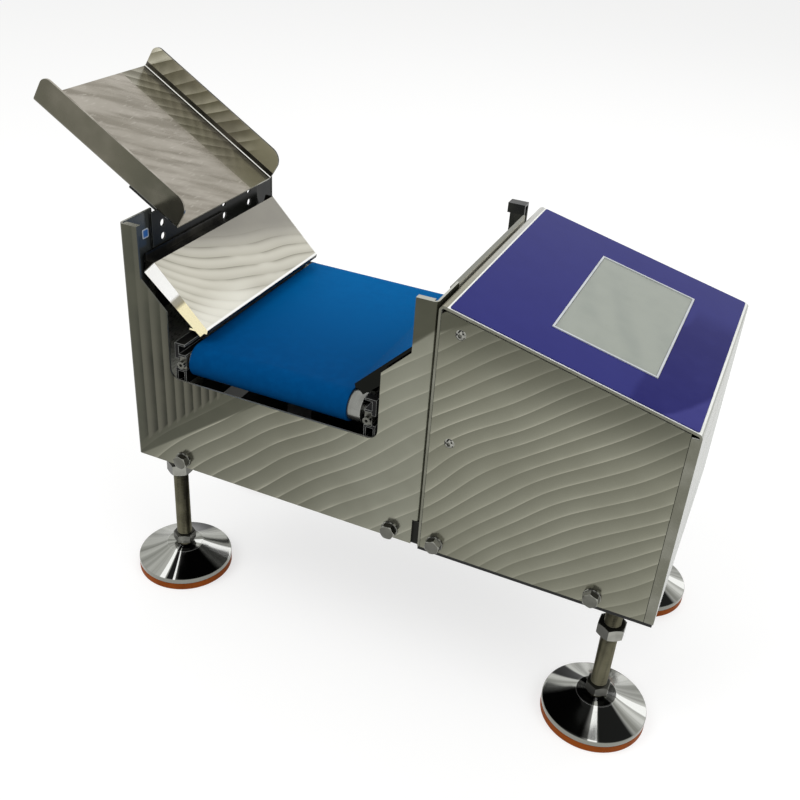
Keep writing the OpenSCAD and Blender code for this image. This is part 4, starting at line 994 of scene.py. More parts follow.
@dataclass(frozen=True)
class FacetSteel(Finish):
    """Bright steel of bolts and nuts, whose flats carry darker or lighter painted reflections by their
    direction.

    Attributes:
        deep: The darkest painted reflections on the flats.
        top: The painted dark reflection on the faces that look up.
        end: The painted reflection on the faces that look to the front.
    """

    deep: Rgb = (20, 20, 17)
    top: Rgb = (46, 46, 40)
    end: Rgb = (104, 104, 97)

    def tone(self, graph: Graph) -> Feed:
        """Give each direction its own painted reflection, from a cloud over the outward direction."""
        out = graph.node("ShaderNodeTexCoord").outputs["Normal"]
        flats = graph.rise(graph.noise(out, 2.9, 0.0), 0.42, 0.58)
        colour = graph.mix(flats, self.deep, self.colour)
        _, forward, upward = graph.split(out)
        colour = graph.mix(graph.rise(upward, 0.8, 0.95), colour, self.top)
        return graph.mix(graph.rise(forward, -0.9, -0.98), colour, self.end)


# Points round a turn, rows of points to a thread's pitch, and the cone that cuts a hexagon's corners
ROUND_STEPS = 72
DISC_STEPS = 144
HEX_STEPS = 96
THREAD_STEPS = 32
THREAD_ROWS = 6
TAB_STEPS = 64
CORNER_CUT = math.radians(30)
CUT_START = 0.96


def full_turn(steps: int) -> np.ndarray:
    """Give evenly spread angles round a full turn."""
    return np.linspace(0, math.tau, steps, endpoint=False)


def rings(radius: np.ndarray, height: np.ndarray, angle: np.ndarray) -> np.ndarray:
    """Give the points (radius cos a, radius sin a, height) for every angle a, one row for each ring."""
    return np.stack([radius * np.cos(angle), radius * np.sin(angle), height + 0 * angle], axis=-1)


def linked(name: str, data: bpy.types.ID) -> bpy.types.Object:
    """Make an object of a mesh, lamp or camera and link it to the scene."""
    made = bpy.data.objects.new(name, data)
    bpy.context.scene.collection.objects.link(made)
    return made


def revolved(profile: np.ndarray, steps: int = ROUND_STEPS) -> np.ndarray:
    """Carry a profile of (radius, height) points round the upright axis.

    Args:
        profile: Points from one pole to the other, one row each.
        steps: Number of angles.

    Returns:
        A grid of points, one row for each profile point.
    """
    return rings(profile[:, :1], profile[:, 1:], full_turn(steps))


def hex_radius(across_flats: float, angle: np.ndarray) -> np.ndarray:
    """Give a hexagon's distance from its middle to its side at each angle.

    The distance is half the width over the cosine of the angle to the nearest flat's middle.

    Args:
        across_flats: Width between opposite flats.
        angle: The angles.

    Returns:
        The distances.
    """
    sector = math.tau / 6
    return across_flats / 2 / np.cos(np.mod(angle + sector / 2, sector) - sector / 2)


def hex_block(
    across_flats: float, low: float, high: float, hole: float = 0.0, both: bool = True
) -> np.ndarray:
    """Build a hexagonal head or nut whose corners are cut by a 30-degree cone.

    The side's distance follows the hexagon. Where it passes a circle just inside the flats, the end face
    drops by that excess times the tangent of 30 degrees.

    Args:
        across_flats: Width between opposite flats.
        low: Height of the lower face.
        high: Height of the upper face.
        hole: Radius of a bore, or 0 for none.
        both: Whether the lower end is cut too.

    Returns:
        A closed grid of points, from pole to pole or round the bore.
    """
    angle = full_turn(HEX_STEPS)
    side = hex_radius(across_flats, angle)
    flat = np.full_like(side, across_flats / 2 * CUT_START)
    drop = (side - flat) * math.tan(CORNER_CUT)
    inner = np.full_like(side, hole)
    level = np.zeros_like(side)
    radii = np.stack([inner, flat, side, side, flat, inner])
    lower = low + (drop if both else level)
    heights = np.stack([level + low, level + low, lower, high - drop, level + high, level + high])
    if hole > 0:
        radii = np.concatenate([radii, radii[:1]])
        heights = np.concatenate([heights, heights[:1]])
    return rings(radii, heights, angle)


def threaded(radius: float, depth: float, pitch: float, low: float, high: float) -> np.ndarray:
    """Build a rod with a helical thread.

    The radius falls from the crest by the thread's depth times a triangle wave of the height over the
    pitch less the turn, and fades to the root in a chamfer at both ends.

    Args:
        radius: Radius at the crests.
        depth: Depth of the thread.
        pitch: Height from crest to crest.
        low: Height of the lower end.
        high: Height of the upper end.

    Returns:
        A closed grid of points, one row for each height.
    """
    angle = full_turn(THREAD_STEPS)
    height = np.linspace(low, high, int((high - low) / pitch * THREAD_ROWS))[:, None]
    phase = np.mod(height / pitch - angle / math.tau, 1.0)
    wave = np.abs(2 * phase - 1)
    end = np.minimum(height - low, high - height)
    chamfer = np.clip(1.2 * depth - end, 0, None)
    width = np.minimum(radius - depth * wave, radius - chamfer)
    tube = rings(width, height, angle)
    pole = np.zeros_like(tube[:1])
    return np.concatenate([pole + (0, 0, low), tube, pole + (0, 0, high)])


def arc(middle: tuple[float, float], radius: float, start: float, end: float, steps: int = 6) -> np.ndarray:
    """Give the points of an arc in a profile.

    Args:
        middle: The arc's middle, as (radius, height).
        radius: The arc's own radius.
        start: Its first angle in degrees.
        end: Its last angle in degrees.
        steps: Number of points.

    Returns:
        The points, one row each.
    """
    angle = np.radians(np.linspace(start, end, steps))
    return np.stack([middle[0] + radius * np.cos(angle), middle[1] + radius * np.sin(angle)], axis=-1)


def placed(grid: np.ndarray, middle: tuple[float, float, float], turn: Matrix | None = None) -> np.ndarray:
    """Turn a grid of points about the origin, then move it.

    Args:
        grid: The points.
        middle: Where the origin goes.
        turn: A rotation, or None.

    Returns:
        The moved points.
    """
    spin = np.array(turn.to_3x3()) if turn else np.eye(3)
    return grid @ spin.T + np.array(middle)


def shell_faces(rows: int, columns: int) -> np.ndarray:
    """Give the four-sided faces of a grid that closes on itself round its columns.

    Args:
        rows: Number of rows of points.
        columns: Number of points in a row.

    Returns:
        The faces as rows of four point numbers.
    """
    row, column = np.meshgrid(np.arange(rows - 1), np.arange(columns), indexing="ij")
    after = (column + 1) % columns
    start, above = row * columns, (row + 1) * columns
    return np.stack([start + column, start + after, above + after, above + column], axis=-1).reshape(-1, 4)


def shell_object(name: str, shells: list[np.ndarray], sharp: float = 32.0) -> bpy.types.Object:
    """Make one object of several closed grids, with poles merged and faces outwards.

    Args:
        name: The piece's name.
        shells: The grids, each rows by columns by three.
        sharp: The angle in degrees past which an edge stays sharp.

    Returns:
        The new object, linked to the scene.
    """
    points = np.concatenate([grid.reshape(-1, 3) for grid in shells])
    starts = np.cumsum([0] + [grid.shape[0] * grid.shape[1] for grid in shells])
    faces = [shell_faces(*grid.shape[:2]) + start for grid, start in zip(shells, starts)]
    mesh = bpy.data.meshes.new(name)
    mesh.from_pydata(points.tolist(), [], np.concatenate(faces).tolist())
    turns = [shell_turns(*grid.shape[:2]) for grid in shells]
    mesh.uv_layers.new(name="turn").data.foreach_set("uv", np.concatenate(turns).ravel())
    work = bmesh.new()
    work.from_mesh(mesh)
    bmesh.ops.remove_doubles(work, verts=work.verts, dist=1e-6)
    bmesh.ops.recalc_face_normals(work, faces=work.faces)
    work.to_mesh(mesh)
    work.free()
    mesh.polygons.foreach_set("use_smooth", np.ones(len(mesh.polygons), bool))
    mesh.set_sharp_from_angle(angle=math.radians(sharp))
    return linked(name, mesh)


def shell_turns(rows: int, columns: int) -> np.ndarray:
    """Give each face corner its share of a full turn and of the profile, as its UV place."""
    row, column = np.meshgrid(np.arange(rows - 1), np.arange(columns), indexing="ij")
    across = np.stack([column, column + 1, column + 1, column], axis=-1) / columns
    along = np.stack([row, row, row + 1, row + 1], axis=-1) / (rows - 1)
    return np.stack([across, along], axis=-1).reshape(-1, 2)


@dataclass
class SubAssembly:
    """A group of nodes and pieces that are dressed together.

    Attributes:
        body: The body that its new pieces ride on.
    """

    body: str = "machine"

    def dress(self, finish: Finish, *nodes: str) -> None:
        """Give nodes of the frame a finish."""
        for node in nodes:
            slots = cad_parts[node].data.materials
            slots.clear()
            slots.append(finish.material())
            LOG.info("dressed %s in %s", node, finish.name)

    def add(
        self,
        name: str,
        shells: list[np.ndarray],
        finish: Finish,
        slot: str,
        replaced: tuple[str, ...] = (),
        body: str | None = None,
    ) -> bpy.types.Object:
        """Add a piece that rides on a body.

        Args:
            name: The piece's name.
            shells: Its closed grids of points.
            finish: Its finish.
            slot: The record's material slot that it belongs to. Not used.
            replaced: The nodes that it stands for.
            body: The body that carries it, where it isn't the group's own.

        Returns:
            The piece.
        """
        made = shell_object(name, shells)
        made.data.materials.append(finish.material())
        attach(made, body or self.body)
        if replaced:
            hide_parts(*replaced)
        LOG.info("added %s with %d faces", name, len(made.data.polygons))
        return made


def corner_of(node: str) -> tuple[Vector, Vector]:
    """Give a node's lowest and highest corners."""
    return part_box(node)


LEFT = corner_of("front_panel")[0].x
LOW = corner_of("front_panel")[0].z
MID = (corner_of("front_panel")[0].y + corner_of("rear_panel")[1].y) / 2

# Black anodised look for the parts inside the housing and the console; it is this dark as painted shade of
# the unlit interior
SHADED_INTERIOR_BLACK = Finish(
    "black_metal",
    (16, 17, 16),
    patch=(34, 35, 33),
    edge=(128, 130, 126),
    edge_gain=1.3,
    specular=0.25,
    roughness=0.4,
)
BOLT_STEEL = FacetSteel(
    "bolt_steel",
    (164, 164, 156),
    patch=(60, 60, 53),
    patchy=0.35,
    metallic=0.65,
    specular=0.3,
    roughness=0.22,
    edge=(200, 200, 194),
    edge_width=0.4 * MM,
    edge_gain=1.6,
    grain=1600.0,
    relief=0.0,
)


@dataclass
class Housing(SubAssembly):
    """Folded panels, walls, base frame and the small film tab inside the left horn.

    Attributes:
        tab_size: Width of the film tab.
        tab_middle: The tab's middle, as depth from the front face and height over the panels' lower edge.
        sheet: Thickness of the panels.
    """

    tab_size: float = 9 * MM
    tab_middle: tuple[float, float] = (33.6 * MM, 222.0 * MM)
    sheet: float = 2 * MM

    def build(self) -> None:
        """Dress the housing and add the film tab."""
        panel = PolishedPanel(
            "housing_sheet",
            (124, 124, 110),
            patch=(98, 97, 82),
            left=LEFT,
            low=LOW,
            middle=MID,
        )
        self.dress(panel, "front_panel", "rear_panel")
        walls = WallSheet(
            "wall_sheet",
            (118, 119, 108),
            metallic=0.5,
            roughness=0.28,
            stretch=(1.0, 0.2, 1.0),
            edge_gain=0.0,
            lit_from=LOW + 205 * MM,
        )
        self.dress(walls, "left_wall", "right_wall")
        # The base frame's tubes are painted dark as the shade under the housing
        tube = Finish(
            "frame_tube",
            (34, 35, 31),
            patch=(20, 20, 18),
            metallic=0.4,
            specular=0.1,
            roughness=0.4,
            edge_gain=0.4,
        )
        self.dress(tube, "front_rail", "rear_rail", "cross_rails", "foot_bushes")
        self.dress(SHADED_INTERIOR_BLACK, "conveyor_base_plate", "console_base_plate")
        self.film_tab()

    def film_tab(self) -> None:
        """Add the small blue film tab with its pale rim.

        Its outline is a superellipse of power 8, so a square with rounded corners, and its rim slopes to
        the sheet.
        """
        depth, height = self.tab_middle
        front = corner_of("front_panel")[0].y
        middle = (LEFT + self.sheet, front + depth, LOW + height)
        upright = Matrix.Rotation(math.radians(90), 4, "Y")
        rim = Finish("film_rim", (196, 204, 214), roughness=0.4, edge_gain=0.0)
        film = Finish("blue_film", (44, 104, 178), patch=(32, 84, 150), roughness=0.3, edge_gain=0.0)
        for name, finish, width, thick in (("film_rim", rim, 1.0, 0.2), ("film_tab", film, 0.76, 0.3)):
            shell = self.rounded_square(self.tab_size * width, thick * MM)
            self.add(name, [placed(shell, middle, upright)], finish, "overlay_violet")

    def rounded_square(self, width: float, thick: float) -> np.ndarray:
        """Build a thin square plate: the distance to the side is w / (|cos|^8 + |sin|^8)^(1/8).

        Args:
            width: Width of the plate.
            thick: Its thickness.

        Returns:
            A closed grid of points.
        """
        angle = full_turn(TAB_STEPS)
        side = width / 2 / (np.abs(np.cos(angle)) ** 8 + np.abs(np.sin(angle)) ** 8) ** (1 / 8)
        share = np.array([0.0, 1.0, 0.97, 0.0])[:, None]
        height = np.array([0.0, 0.0, thick, thick])[:, None]
        return rings(share * side, height, angle)


@dataclass
class Conveyor(SubAssembly):
    """Weighing belt, rollers, rails, load cell and the belt's drive."""

    def build(self) -> None:
        """Dress the conveyor, the weigher and the drive."""
        low, high = corner_of("conveyor_belt")
        belt = BeltCover(
            "belt_blue",
            (0, 65, 117),
            patch=(0, 78, 136),
            patchy=0.3,
            start=low.y,
            length=high.y - low.y,
            edge=(10, 96, 150),
            edge_gain=0.5,
            roughness=0.6,
            specular=0.02,
            grain=2400.0,
            relief=0.06,
        )
        self.dress(belt, "conveyor_belt")
        # Black anodised rail; its bright edge lines are painted highlights, partly rubbed wear
        rail = Finish(
            "anodised_rail",
            (13, 13, 13),
            patch=(26, 26, 26),
            edge=(176, 178, 174),
            edge_width=0.9 * MM,
            edge_gain=4.0,
            specular=0.15,
        )
        self.dress(rail, "rail_left", "rail_right")
        roller = Finish(
            "roller_steel",
            (138, 139, 134),
            metallic=0.85,
            roughness=0.25,
            stretch=(8.0, 1.0, 1.0),
        )
        self.dress(roller, "drive_roller", "idler_roller", "idler_axle", "drive_bearings", "idler_bearings")
        self.dress(BOLT_STEEL, "tension_screws")
        bed = Finish("bed_sheet", (138, 139, 132), metallic=0.8, roughness=0.35, stretch=(1.0, 0.1, 1.0))
        self.dress(bed, "slider_bed")
        cell = Finish(
            "machined_aluminium",
            (182, 184, 184),
            metallic=0.8,
            roughness=0.3,
            stretch=(0.1, 1.0, 1.0),
        )
        self.dress(cell, "load_cell", "load_cell_foot", "load_cell_head", "drive_pulley", "motor_pulley")
        self.dress(SHADED_INTERIOR_BLACK, "weigh_plate", "motor_bracket")
        motor = Finish(
            "motor_paint",
            (22, 23, 24),
            patch=(40, 41, 42),
            roughness=0.5,
            specular=0.3,
            edge_gain=0.5,
        )
        self.dress(motor, "motor")
        toothed = Finish(
            "drive_rubber",
            (20, 20, 20),
            patch=(36, 36, 36),
            roughness=0.7,
            specular=0.2,
            edge_gain=0.3,
        )
        self.dress(toothed, "timing_belt")


@dataclass
class Infeed(SubAssembly):
    """Chute, its bracket and bolts, and the two slanted guide plates.

    Attributes:
        fall_deg: Slope of the chute's floor.
        sheet: Thickness of the chute's sheet.
        guide_in: Distance of the deflector's upper edge from the housing's left face.
        guide_top: Height of that edge over the panels' lower edge.
    """

    fall_deg: float = 31.3
    sheet: float = 2 * MM
    guide_in: float = 17 * MM
    guide_top: float = 200 * MM

    def build(self) -> None:
        """Dress the chute, its bracket and the guide plates."""
        low, high = corner_of("chute")
        chute = ChuteSheet(
            "chute_sheet",
            (170, 164, 153),
            patch=(140, 134, 121),
            patchy=0.4,
            metallic=0.7,
            roughness=0.2,
            grain=420.0,
            lip=(high.x, MID, low.z),
            half=(high.y - low.y) / 2 - self.sheet,
            relief=0.01,
            fall=math.radians(self.fall_deg),
            edge=(206, 206, 196),
            edge_gain=1.6,
        )
        self.dress(chute, "chute")
        # The chute's bracket is painted near black as the shade that it stands in
        bracket = Finish(
            "bracket_sheet",
            (26, 27, 24),
            patch=(16, 17, 15),
            patchy=0.6,
            edge=(150, 152, 148),
            edge_gain=1.2,
            specular=0.15,
            roughness=0.3,
        )
        self.dress(bracket, "chute_bracket")
        self.dress(BOLT_STEEL, "chute_bolts")
        plate_low, plate_high = corner_of("deflector_plate")
        deflector = GuideSheet(
            "deflector_sheet",
            (232, 229, 215),
            patch=(200, 195, 178),
            patchy=0.08,
            metallic=0.45,
            specular=0.15,
            roughness=0.24,
            top=(LEFT + self.guide_in, plate_low.y, LOW + self.guide_top),
            length=plate_high.y - plate_low.y,
            edge_gain=0.0,
            grain=500.0,
            relief=0.0,
        )
        self.dress(deflector, "deflector_plate")
        mirror = MirrorSheet(
            "guide_mirror",
            (206, 208, 208),
            patchy=0.0,
            metallic=1.0,
            roughness=0.07,
            roughness_spread=0.04,
            edge_gain=0.0,
            relief=0.0,
        )
        self.dress(mirror, "right_guide_plate")


@dataclass
class Console(SubAssembly):
    """Sloped console with its overlay, touch screen and the electrics behind them."""

    def build(self) -> None:
        """Dress the console from the outside in."""
        low, high = corner_of("console_wrap")
        over_low, over_high = corner_of("overlay")
        panel = PolishedPanel(
            "console_sheet",
            (136, 136, 121),
            patch=(108, 107, 92),
            sheet=Sheet.CONSOLE,
            left=LEFT,
            low=LOW,
            middle=MID,
            dark=(112, 112, 98),
            spacing=16.5 * MM,
            slope=0.86,
            wander=30 * MM,
            shade_point=(311.7 * MM, 219.5 * MM),
            shade_slope=0.56,
            top_fall=(high.z - over_low.z) / (high.x - low.x),
        )
        self.dress(panel, "console_front_panel", "console_rear_panel")
        wrap = WrapSheet(
            "wrap_sheet",
            (240, 241, 236),
            patch=(190, 190, 180),
            patchy=0.25,
            metallic=0.2,
            specular=0.2,
            roughness=0.26,
            stretch=(1.0, 0.2, 1.0),
            margin_x=over_low.x,
            margin_far=over_high.x,
            front=low.y,
            depth=high.y - low.y,
            relief=0.0,
            edge_gain=0.0,
        )
        self.dress(wrap, "console_wrap")
        film = PrintedFilm(
            "overlay_film",
            (38, 40, 110),
            patch=(34, 35, 104),
            patchy=0.4,
            edge=(20, 20, 60),
            edge_gain=1.5,
            roughness=0.16,
            specular=0.06,
            corner=(over_high.x, over_low.y, 0.0),
            relief=0.02,
        )
        self.dress(film, "overlay")
        bezel = Finish("bezel_silver", (196, 200, 204), metallic=0.4, roughness=0.3, edge_gain=0.8)
        self.dress(bezel, "screen_bezel")
        screen = ScreenFace(
            "screen_face",
            (146, 151, 142),
            patch=(136, 142, 133),
            patchy=0.35,
            edge_gain=0.0,
            roughness=0.3,
            specular=0.25,
            relief=0.0,
        )
        self.dress(screen, "touch_screen")
        plastic = Finish(
            "black_plastic",
            (20, 20, 21),
            patch=(34, 34, 35),
            specular=0.3,
            edge=(70, 70, 72),
            relief=0.15,
        )
        self.dress(plastic, "hmi_module", "power_inlet", "rocker_switch")
        board = Finish("board_green", (28, 84, 50), patch=(20, 62, 38), specular=0.4, edge=(150, 140, 90))
        self.dress(board, "controller_board")
        case = Finish("supply_case", (166, 168, 168), metallic=0.7, roughness=0.4, stretch=(1.0, 1.0, 0.2))
        self.dress(case, "power_supply")


class Corner(Enum):
    """The four corners that stand on a foot."""

    FRONT_LEFT = "front_left"
    FRONT_RIGHT = "front_right"
    REAR_LEFT = "rear_left"
    REAR_RIGHT = "rear_right"


# Painted dark reflections and bright highlights of the left and right foot discs
DARK_SECTORS: dict[str, Sectors] = {
    "left": ((0.89, 0.085), (0.79, 0.012), (0.3, 0.07)),
    "right": ((0.65, 0.12), (0.86, 0.065), (0.42, 0.03)),
}
LIGHT_SECTORS: dict[str, Sectors] = {
    "left": ((0.763, 0.01), (0.805, 0.004), (0.06, 0.03)),
    "right": ((0.785, 0.014), (0.03, 0.02)),
}


@dataclass
class Feet(SubAssembly):
    """Four levelling feet: threaded stem with its nuts, turned disc and rubber pad.

    Attributes:
        thread_radius: Radius of the stem at the crests.
        thread_depth: Depth of its thread.
        pitch: Pitch of its thread.
        ball_radius: Radius of the ball that the disc swivels on.
        ball_z: Height of the ball's middle.
        neck_radius: Radius of the neck over the ball.
        key_low: Height of the lower face of the stem's hexagon.
        key_high: Height of its upper face.
        key_width: Its width between flats.
        nut_width: The jam nut's width between flats.
        nut_height: The jam nut's height.
        nut_low: Height of the lower face of the left and of the right jam nuts.
        hub_radius: Radius of the disc's hub.
        rim_height: Height of the disc's rim.
        rim_round: Radius of the rim's rounded edges.
        shoulder_deg: How far the rim's upper edge is rounded, where the cone begins.
        dish: How far the cone sags in its middle.
        hub_foot: How far the cone ends outside the hub and below its top.
        hub_round: Radius of the hub's edge and width of the socket's chamfer.
        socket_gap: Clearance between the ball and its socket.
    """

    thread_radius: float = 7.95 * MM
    thread_depth: float = 1.1 * MM
    pitch: float = 2 * MM
    ball_radius: float = 8 * MM
    ball_z: float = 23.7 * MM
    neck_radius: float = 6 * MM
    key_low: float = 31.5 * MM
    key_high: float = 41.5 * MM
    key_width: float = 20.7 * MM
    nut_width: float = 24 * MM
    nut_height: float = 13 * MM
    nut_low: dict[str, float] = field(default_factory=lambda: {"left": 123 * MM, "right": 104 * MM})
    hub_radius: float = 19.5 * MM
    rim_height: float = 6 * MM
    rim_round: float = 1.2 * MM
    shoulder_deg: float = 66
    dish: float = 0.8 * MM
    hub_foot: tuple[float, float] = (1.5 * MM, 1.8 * MM)
    hub_round: float = 0.8 * MM
    socket_gap: float = 0.3 * MM

    def build(self) -> None:
        """Build each foot."""
        stem = ThreadSteel(
            "stem_steel",
            (26, 25, 18),
            patch=(18, 17, 12),
            patchy=0.4,
            metallic=0.85,
            roughness=0.3,
            edge_gain=0.0,
            relief=0.0,
        )
        pad = Finish(
            "pad_rubber",
            (156, 78, 24),
            patch=(104, 54, 16),
            patchy=0.5,
            roughness=0.6,
            specular=0.1,
            edge_gain=0.0,
            relief=0.2,
        )
        for corner in Corner:
            self.foot(corner.value, stem, self.chrome(corner))
            self.dress(pad, "foot_pad_" + corner.value)

    def chrome(self, corner: Corner) -> TurnedChrome:
        """Give a disc's finish: its painted reflections depend on the side where it stands."""
        left = corner in (Corner.FRONT_LEFT, Corner.REAR_LEFT)
        side = "left" if left else "right"
        return TurnedChrome(
            "turned_chrome_" + side,
            (172, 173, 166) if left else (204, 205, 199),
            patch=(112, 113, 106) if left else (120, 121, 114),
            patchy=0.0,
            metallic=0.85,
            roughness=0.14,
            edge=(236, 237, 232),
            edge_width=0.9 * MM,
            edge_gain=2.0,
            relief=0.0,
            dark_sectors=DARK_SECTORS[side],
            light_sectors=LIGHT_SECTORS[side],
        )

    def foot(self, corner: str, stem: Finish, chrome: Finish) -> None:
        """Build one foot round the middle of its pad.

        Args:
            corner: Which corner it stands at.
            stem: The finish of the thread and the ball.
            chrome: The finish of the disc.
        """
        disc_node, stem_node = "foot_disc_" + corner, "foot_stem_" + corner
        body = "stem_" + corner
        low, high = corner_of(disc_node)
        middle = ((low.x + high.x) / 2, (low.y + high.y) / 2, 0.0)
        top = corner_of(stem_node)[1].z
        rod = threaded(self.thread_radius, self.thread_depth, self.pitch, self.key_high - 1 * MM, top)
        shells = [placed(rod, middle), placed(revolved(self.ball_profile()), middle)]
        self.add(stem_node + "_rod", shells, stem, "stem_steel", (stem_node,), body)
        nut_low = self.nut_low[corner.split("_")[1]]
        key = hex_block(self.key_width, self.key_low, self.key_high)
        nut = hex_block(self.nut_width, nut_low, nut_low + self.nut_height, self.thread_radius)
        shells = [placed(key, middle), placed(nut, middle)]
        self.add(stem_node + "_nuts", shells, BOLT_STEEL, "stem_steel", (), body)
        disc = revolved(self.disc_profile(low.z, high.z, (high.x - low.x) / 2), DISC_STEPS)
        shells = [placed(disc, middle)]
        self.add(disc_node + "_turned", shells, chrome, "foot_chrome", (disc_node,), "foot_" + corner)

    def ball_profile(self) -> np.ndarray:
        """Give the ball and its neck, from the ball's lower pole up into the hexagon."""
        meet = math.degrees(math.acos(self.neck_radius / self.ball_radius))
        ball = arc((0.0, self.ball_z), self.ball_radius, -90, meet, 16)
        inside = self.key_low + 1 * MM
        return np.concatenate([ball, [[self.neck_radius, inside], [0.0, inside]]])

    def disc_profile(self, low: float, high: float, radius: float) -> np.ndarray:
        """Give the disc's section: a rounded rim, a dished cone, a stepped hub and the ball's socket.

        Args:
            low: Height of the disc's lower face.
            high: Height of its hub.
            radius: Radius of its rim.

        Returns:
            The profile from the lower pole to the socket's pole.
        """
        edge, bevel = self.rim_round, self.hub_round
        rim = arc((radius - edge, low + edge), edge, -90, 0)
        shoulder = arc((radius - edge, low + self.rim_height - edge), edge, 0, self.shoulder_deg)
        share = np.linspace(0.05, 1, 12)[:, None]
        start = shoulder[-1]
        end = np.array([self.hub_radius + self.hub_foot[0], high - self.hub_foot[1]])
        cone = start + (end - start) * share
        cone[:, 1:] -= self.dish * np.sin(math.pi * share)
        hub = arc((self.hub_radius - bevel, high - bevel), bevel, 0, 90)
        socket = self.ball_radius + self.socket_gap
        floor = self.ball_z - self.ball_radius - self.socket_gap
        mouth = [[socket + bevel, high], [socket, high - bevel], [socket, floor], [0.0, floor]]
        return np.concatenate([[[0.0, low]], rim, shoulder, cone, hub, mouth])


@dataclass
class Fasteners(SubAssembly):
    """Hexagon bolts with washers along the lower edge, and button-head screws on the console.

    Attributes:
        bolt_x: The bolts' places along the machine, from the housing's left face.
        bolt_z: Their height over the panels' lower edge.
        bolt_width: The heads' width between flats.
        bolt_head: The heads' height.
        washer_radius: Radius of the washers.
        washer: Thickness of the washers.
        face: Where the panels' outer faces stand, either side of the middle.
        screw_x: Place of the button heads from the housing's left face.
        screw_z: Their heights over the panels' lower edge.
        screw_radius: Radius of the button heads.
        screw_head: Height of the button heads.
        socket_width: Width of their sockets between flats.
        socket_depth: Depth of their sockets.
        turn_deg: How far each head is turned past the one before it.
        mouth_share: How much wider the socket's chamfered mouth is.
        dome_rows: Number of rows of points from the mouth to the rim.
    """

    bolt_x: tuple[float, ...] = (54 * MM, 277 * MM, 321 * MM, 466 * MM)
    bolt_z: float = 9 * MM
    bolt_width: float = 13 * MM
    bolt_head: float = 6 * MM
    washer_radius: float = 8 * MM
    washer: float = 1.6 * MM
    face: float = 130 * MM
    screw_x: float = 325 * MM
    screw_z: tuple[float, ...] = (220 * MM, 118 * MM)
    screw_radius: float = 4.6 * MM
    screw_head: float = 2.5 * MM
    socket_width: float = 3.2 * MM
    socket_depth: float = 1.5 * MM
    turn_deg: float = 17
    mouth_share: float = 1.12
    dome_rows: int = 7

    def build(self) -> None:
        """Add the bolts and screws on the front and on the rear."""
        bolts = self.row(self.bolt_x, (self.bolt_z,), self.bolt())
        self.add("hex_bolts", bolts, BOLT_STEEL, "bolt_steel", ("panel_bolts",))
        heads = self.row((self.screw_x,), self.screw_z, [self.button()])
        self.add("button_screws", heads, BOLT_STEEL, "bolt_steel", ("console_screws",))

    def row(
        self, places: tuple[float, ...], heights: tuple[float, ...], shells: list[np.ndarray]
    ) -> list[np.ndarray]:
        """Repeat shells over a row of places, on the front face and on the rear face.

        Args:
            places: Distances from the housing's left face.
            heights: Heights over the panels' lower edge.
            shells: Grids that stand on the origin, pointing up.

        Returns:
            The placed grids.
        """
        made = []
        for side in (-1, 1):
            outward = Matrix.Rotation(math.radians(-90 * side), 4, "X")
            for number, (x, z) in enumerate((x, z) for x in places for z in heights):
                turn = outward @ Matrix.Rotation(math.radians(self.turn_deg * (number + 1)), 4, "Z")
                made += [placed(shell, (LEFT + x, MID + side * self.face, LOW + z), turn) for shell in shells]
        return made

    def bolt(self) -> list[np.ndarray]:
        """Give a washer with broken edges and a chamfered hexagon head on it."""
        edge = 0.3 * MM
        radius, top = self.washer_radius, self.washer
        section = [[0, 0], [radius, 0], [radius, top - edge], [radius - edge, top], [0, top]]
        head = hex_block(self.bolt_width, self.washer, self.washer + self.bolt_head, both=False)
        return [revolved(np.array(section)), head]

    def button(self) -> np.ndarray:
        """Build a domed head with a hexagon socket.

        The dome is an arc through the rim and the crown. Inside the socket's hexagon the surface drops to
        the socket's floor.

        Returns:
            A closed grid of points.
        """
        angle = full_turn(ROUND_STEPS)
        socket = hex_radius(self.socket_width, angle)
        ball = (self.screw_radius**2 + self.screw_head**2) / (2 * self.screw_head)
        share = np.linspace(0, 1, self.dome_rows)[:, None]
        mouth = socket * self.mouth_share
        reach = mouth + (self.screw_radius - mouth) * share
        dome = np.sqrt(ball**2 - reach**2) - ball + self.screw_head
        floor = np.full_like(socket, self.screw_head - self.socket_depth)
        zero = np.zeros_like(socket)
        radii = np.concatenate([[zero, socket * 0.98, socket], reach, [zero]])
        heights = np.concatenate([[floor, floor, dome[0] - 0.2 * MM], dome, [zero]])
        return rings(radii, heights, angle)


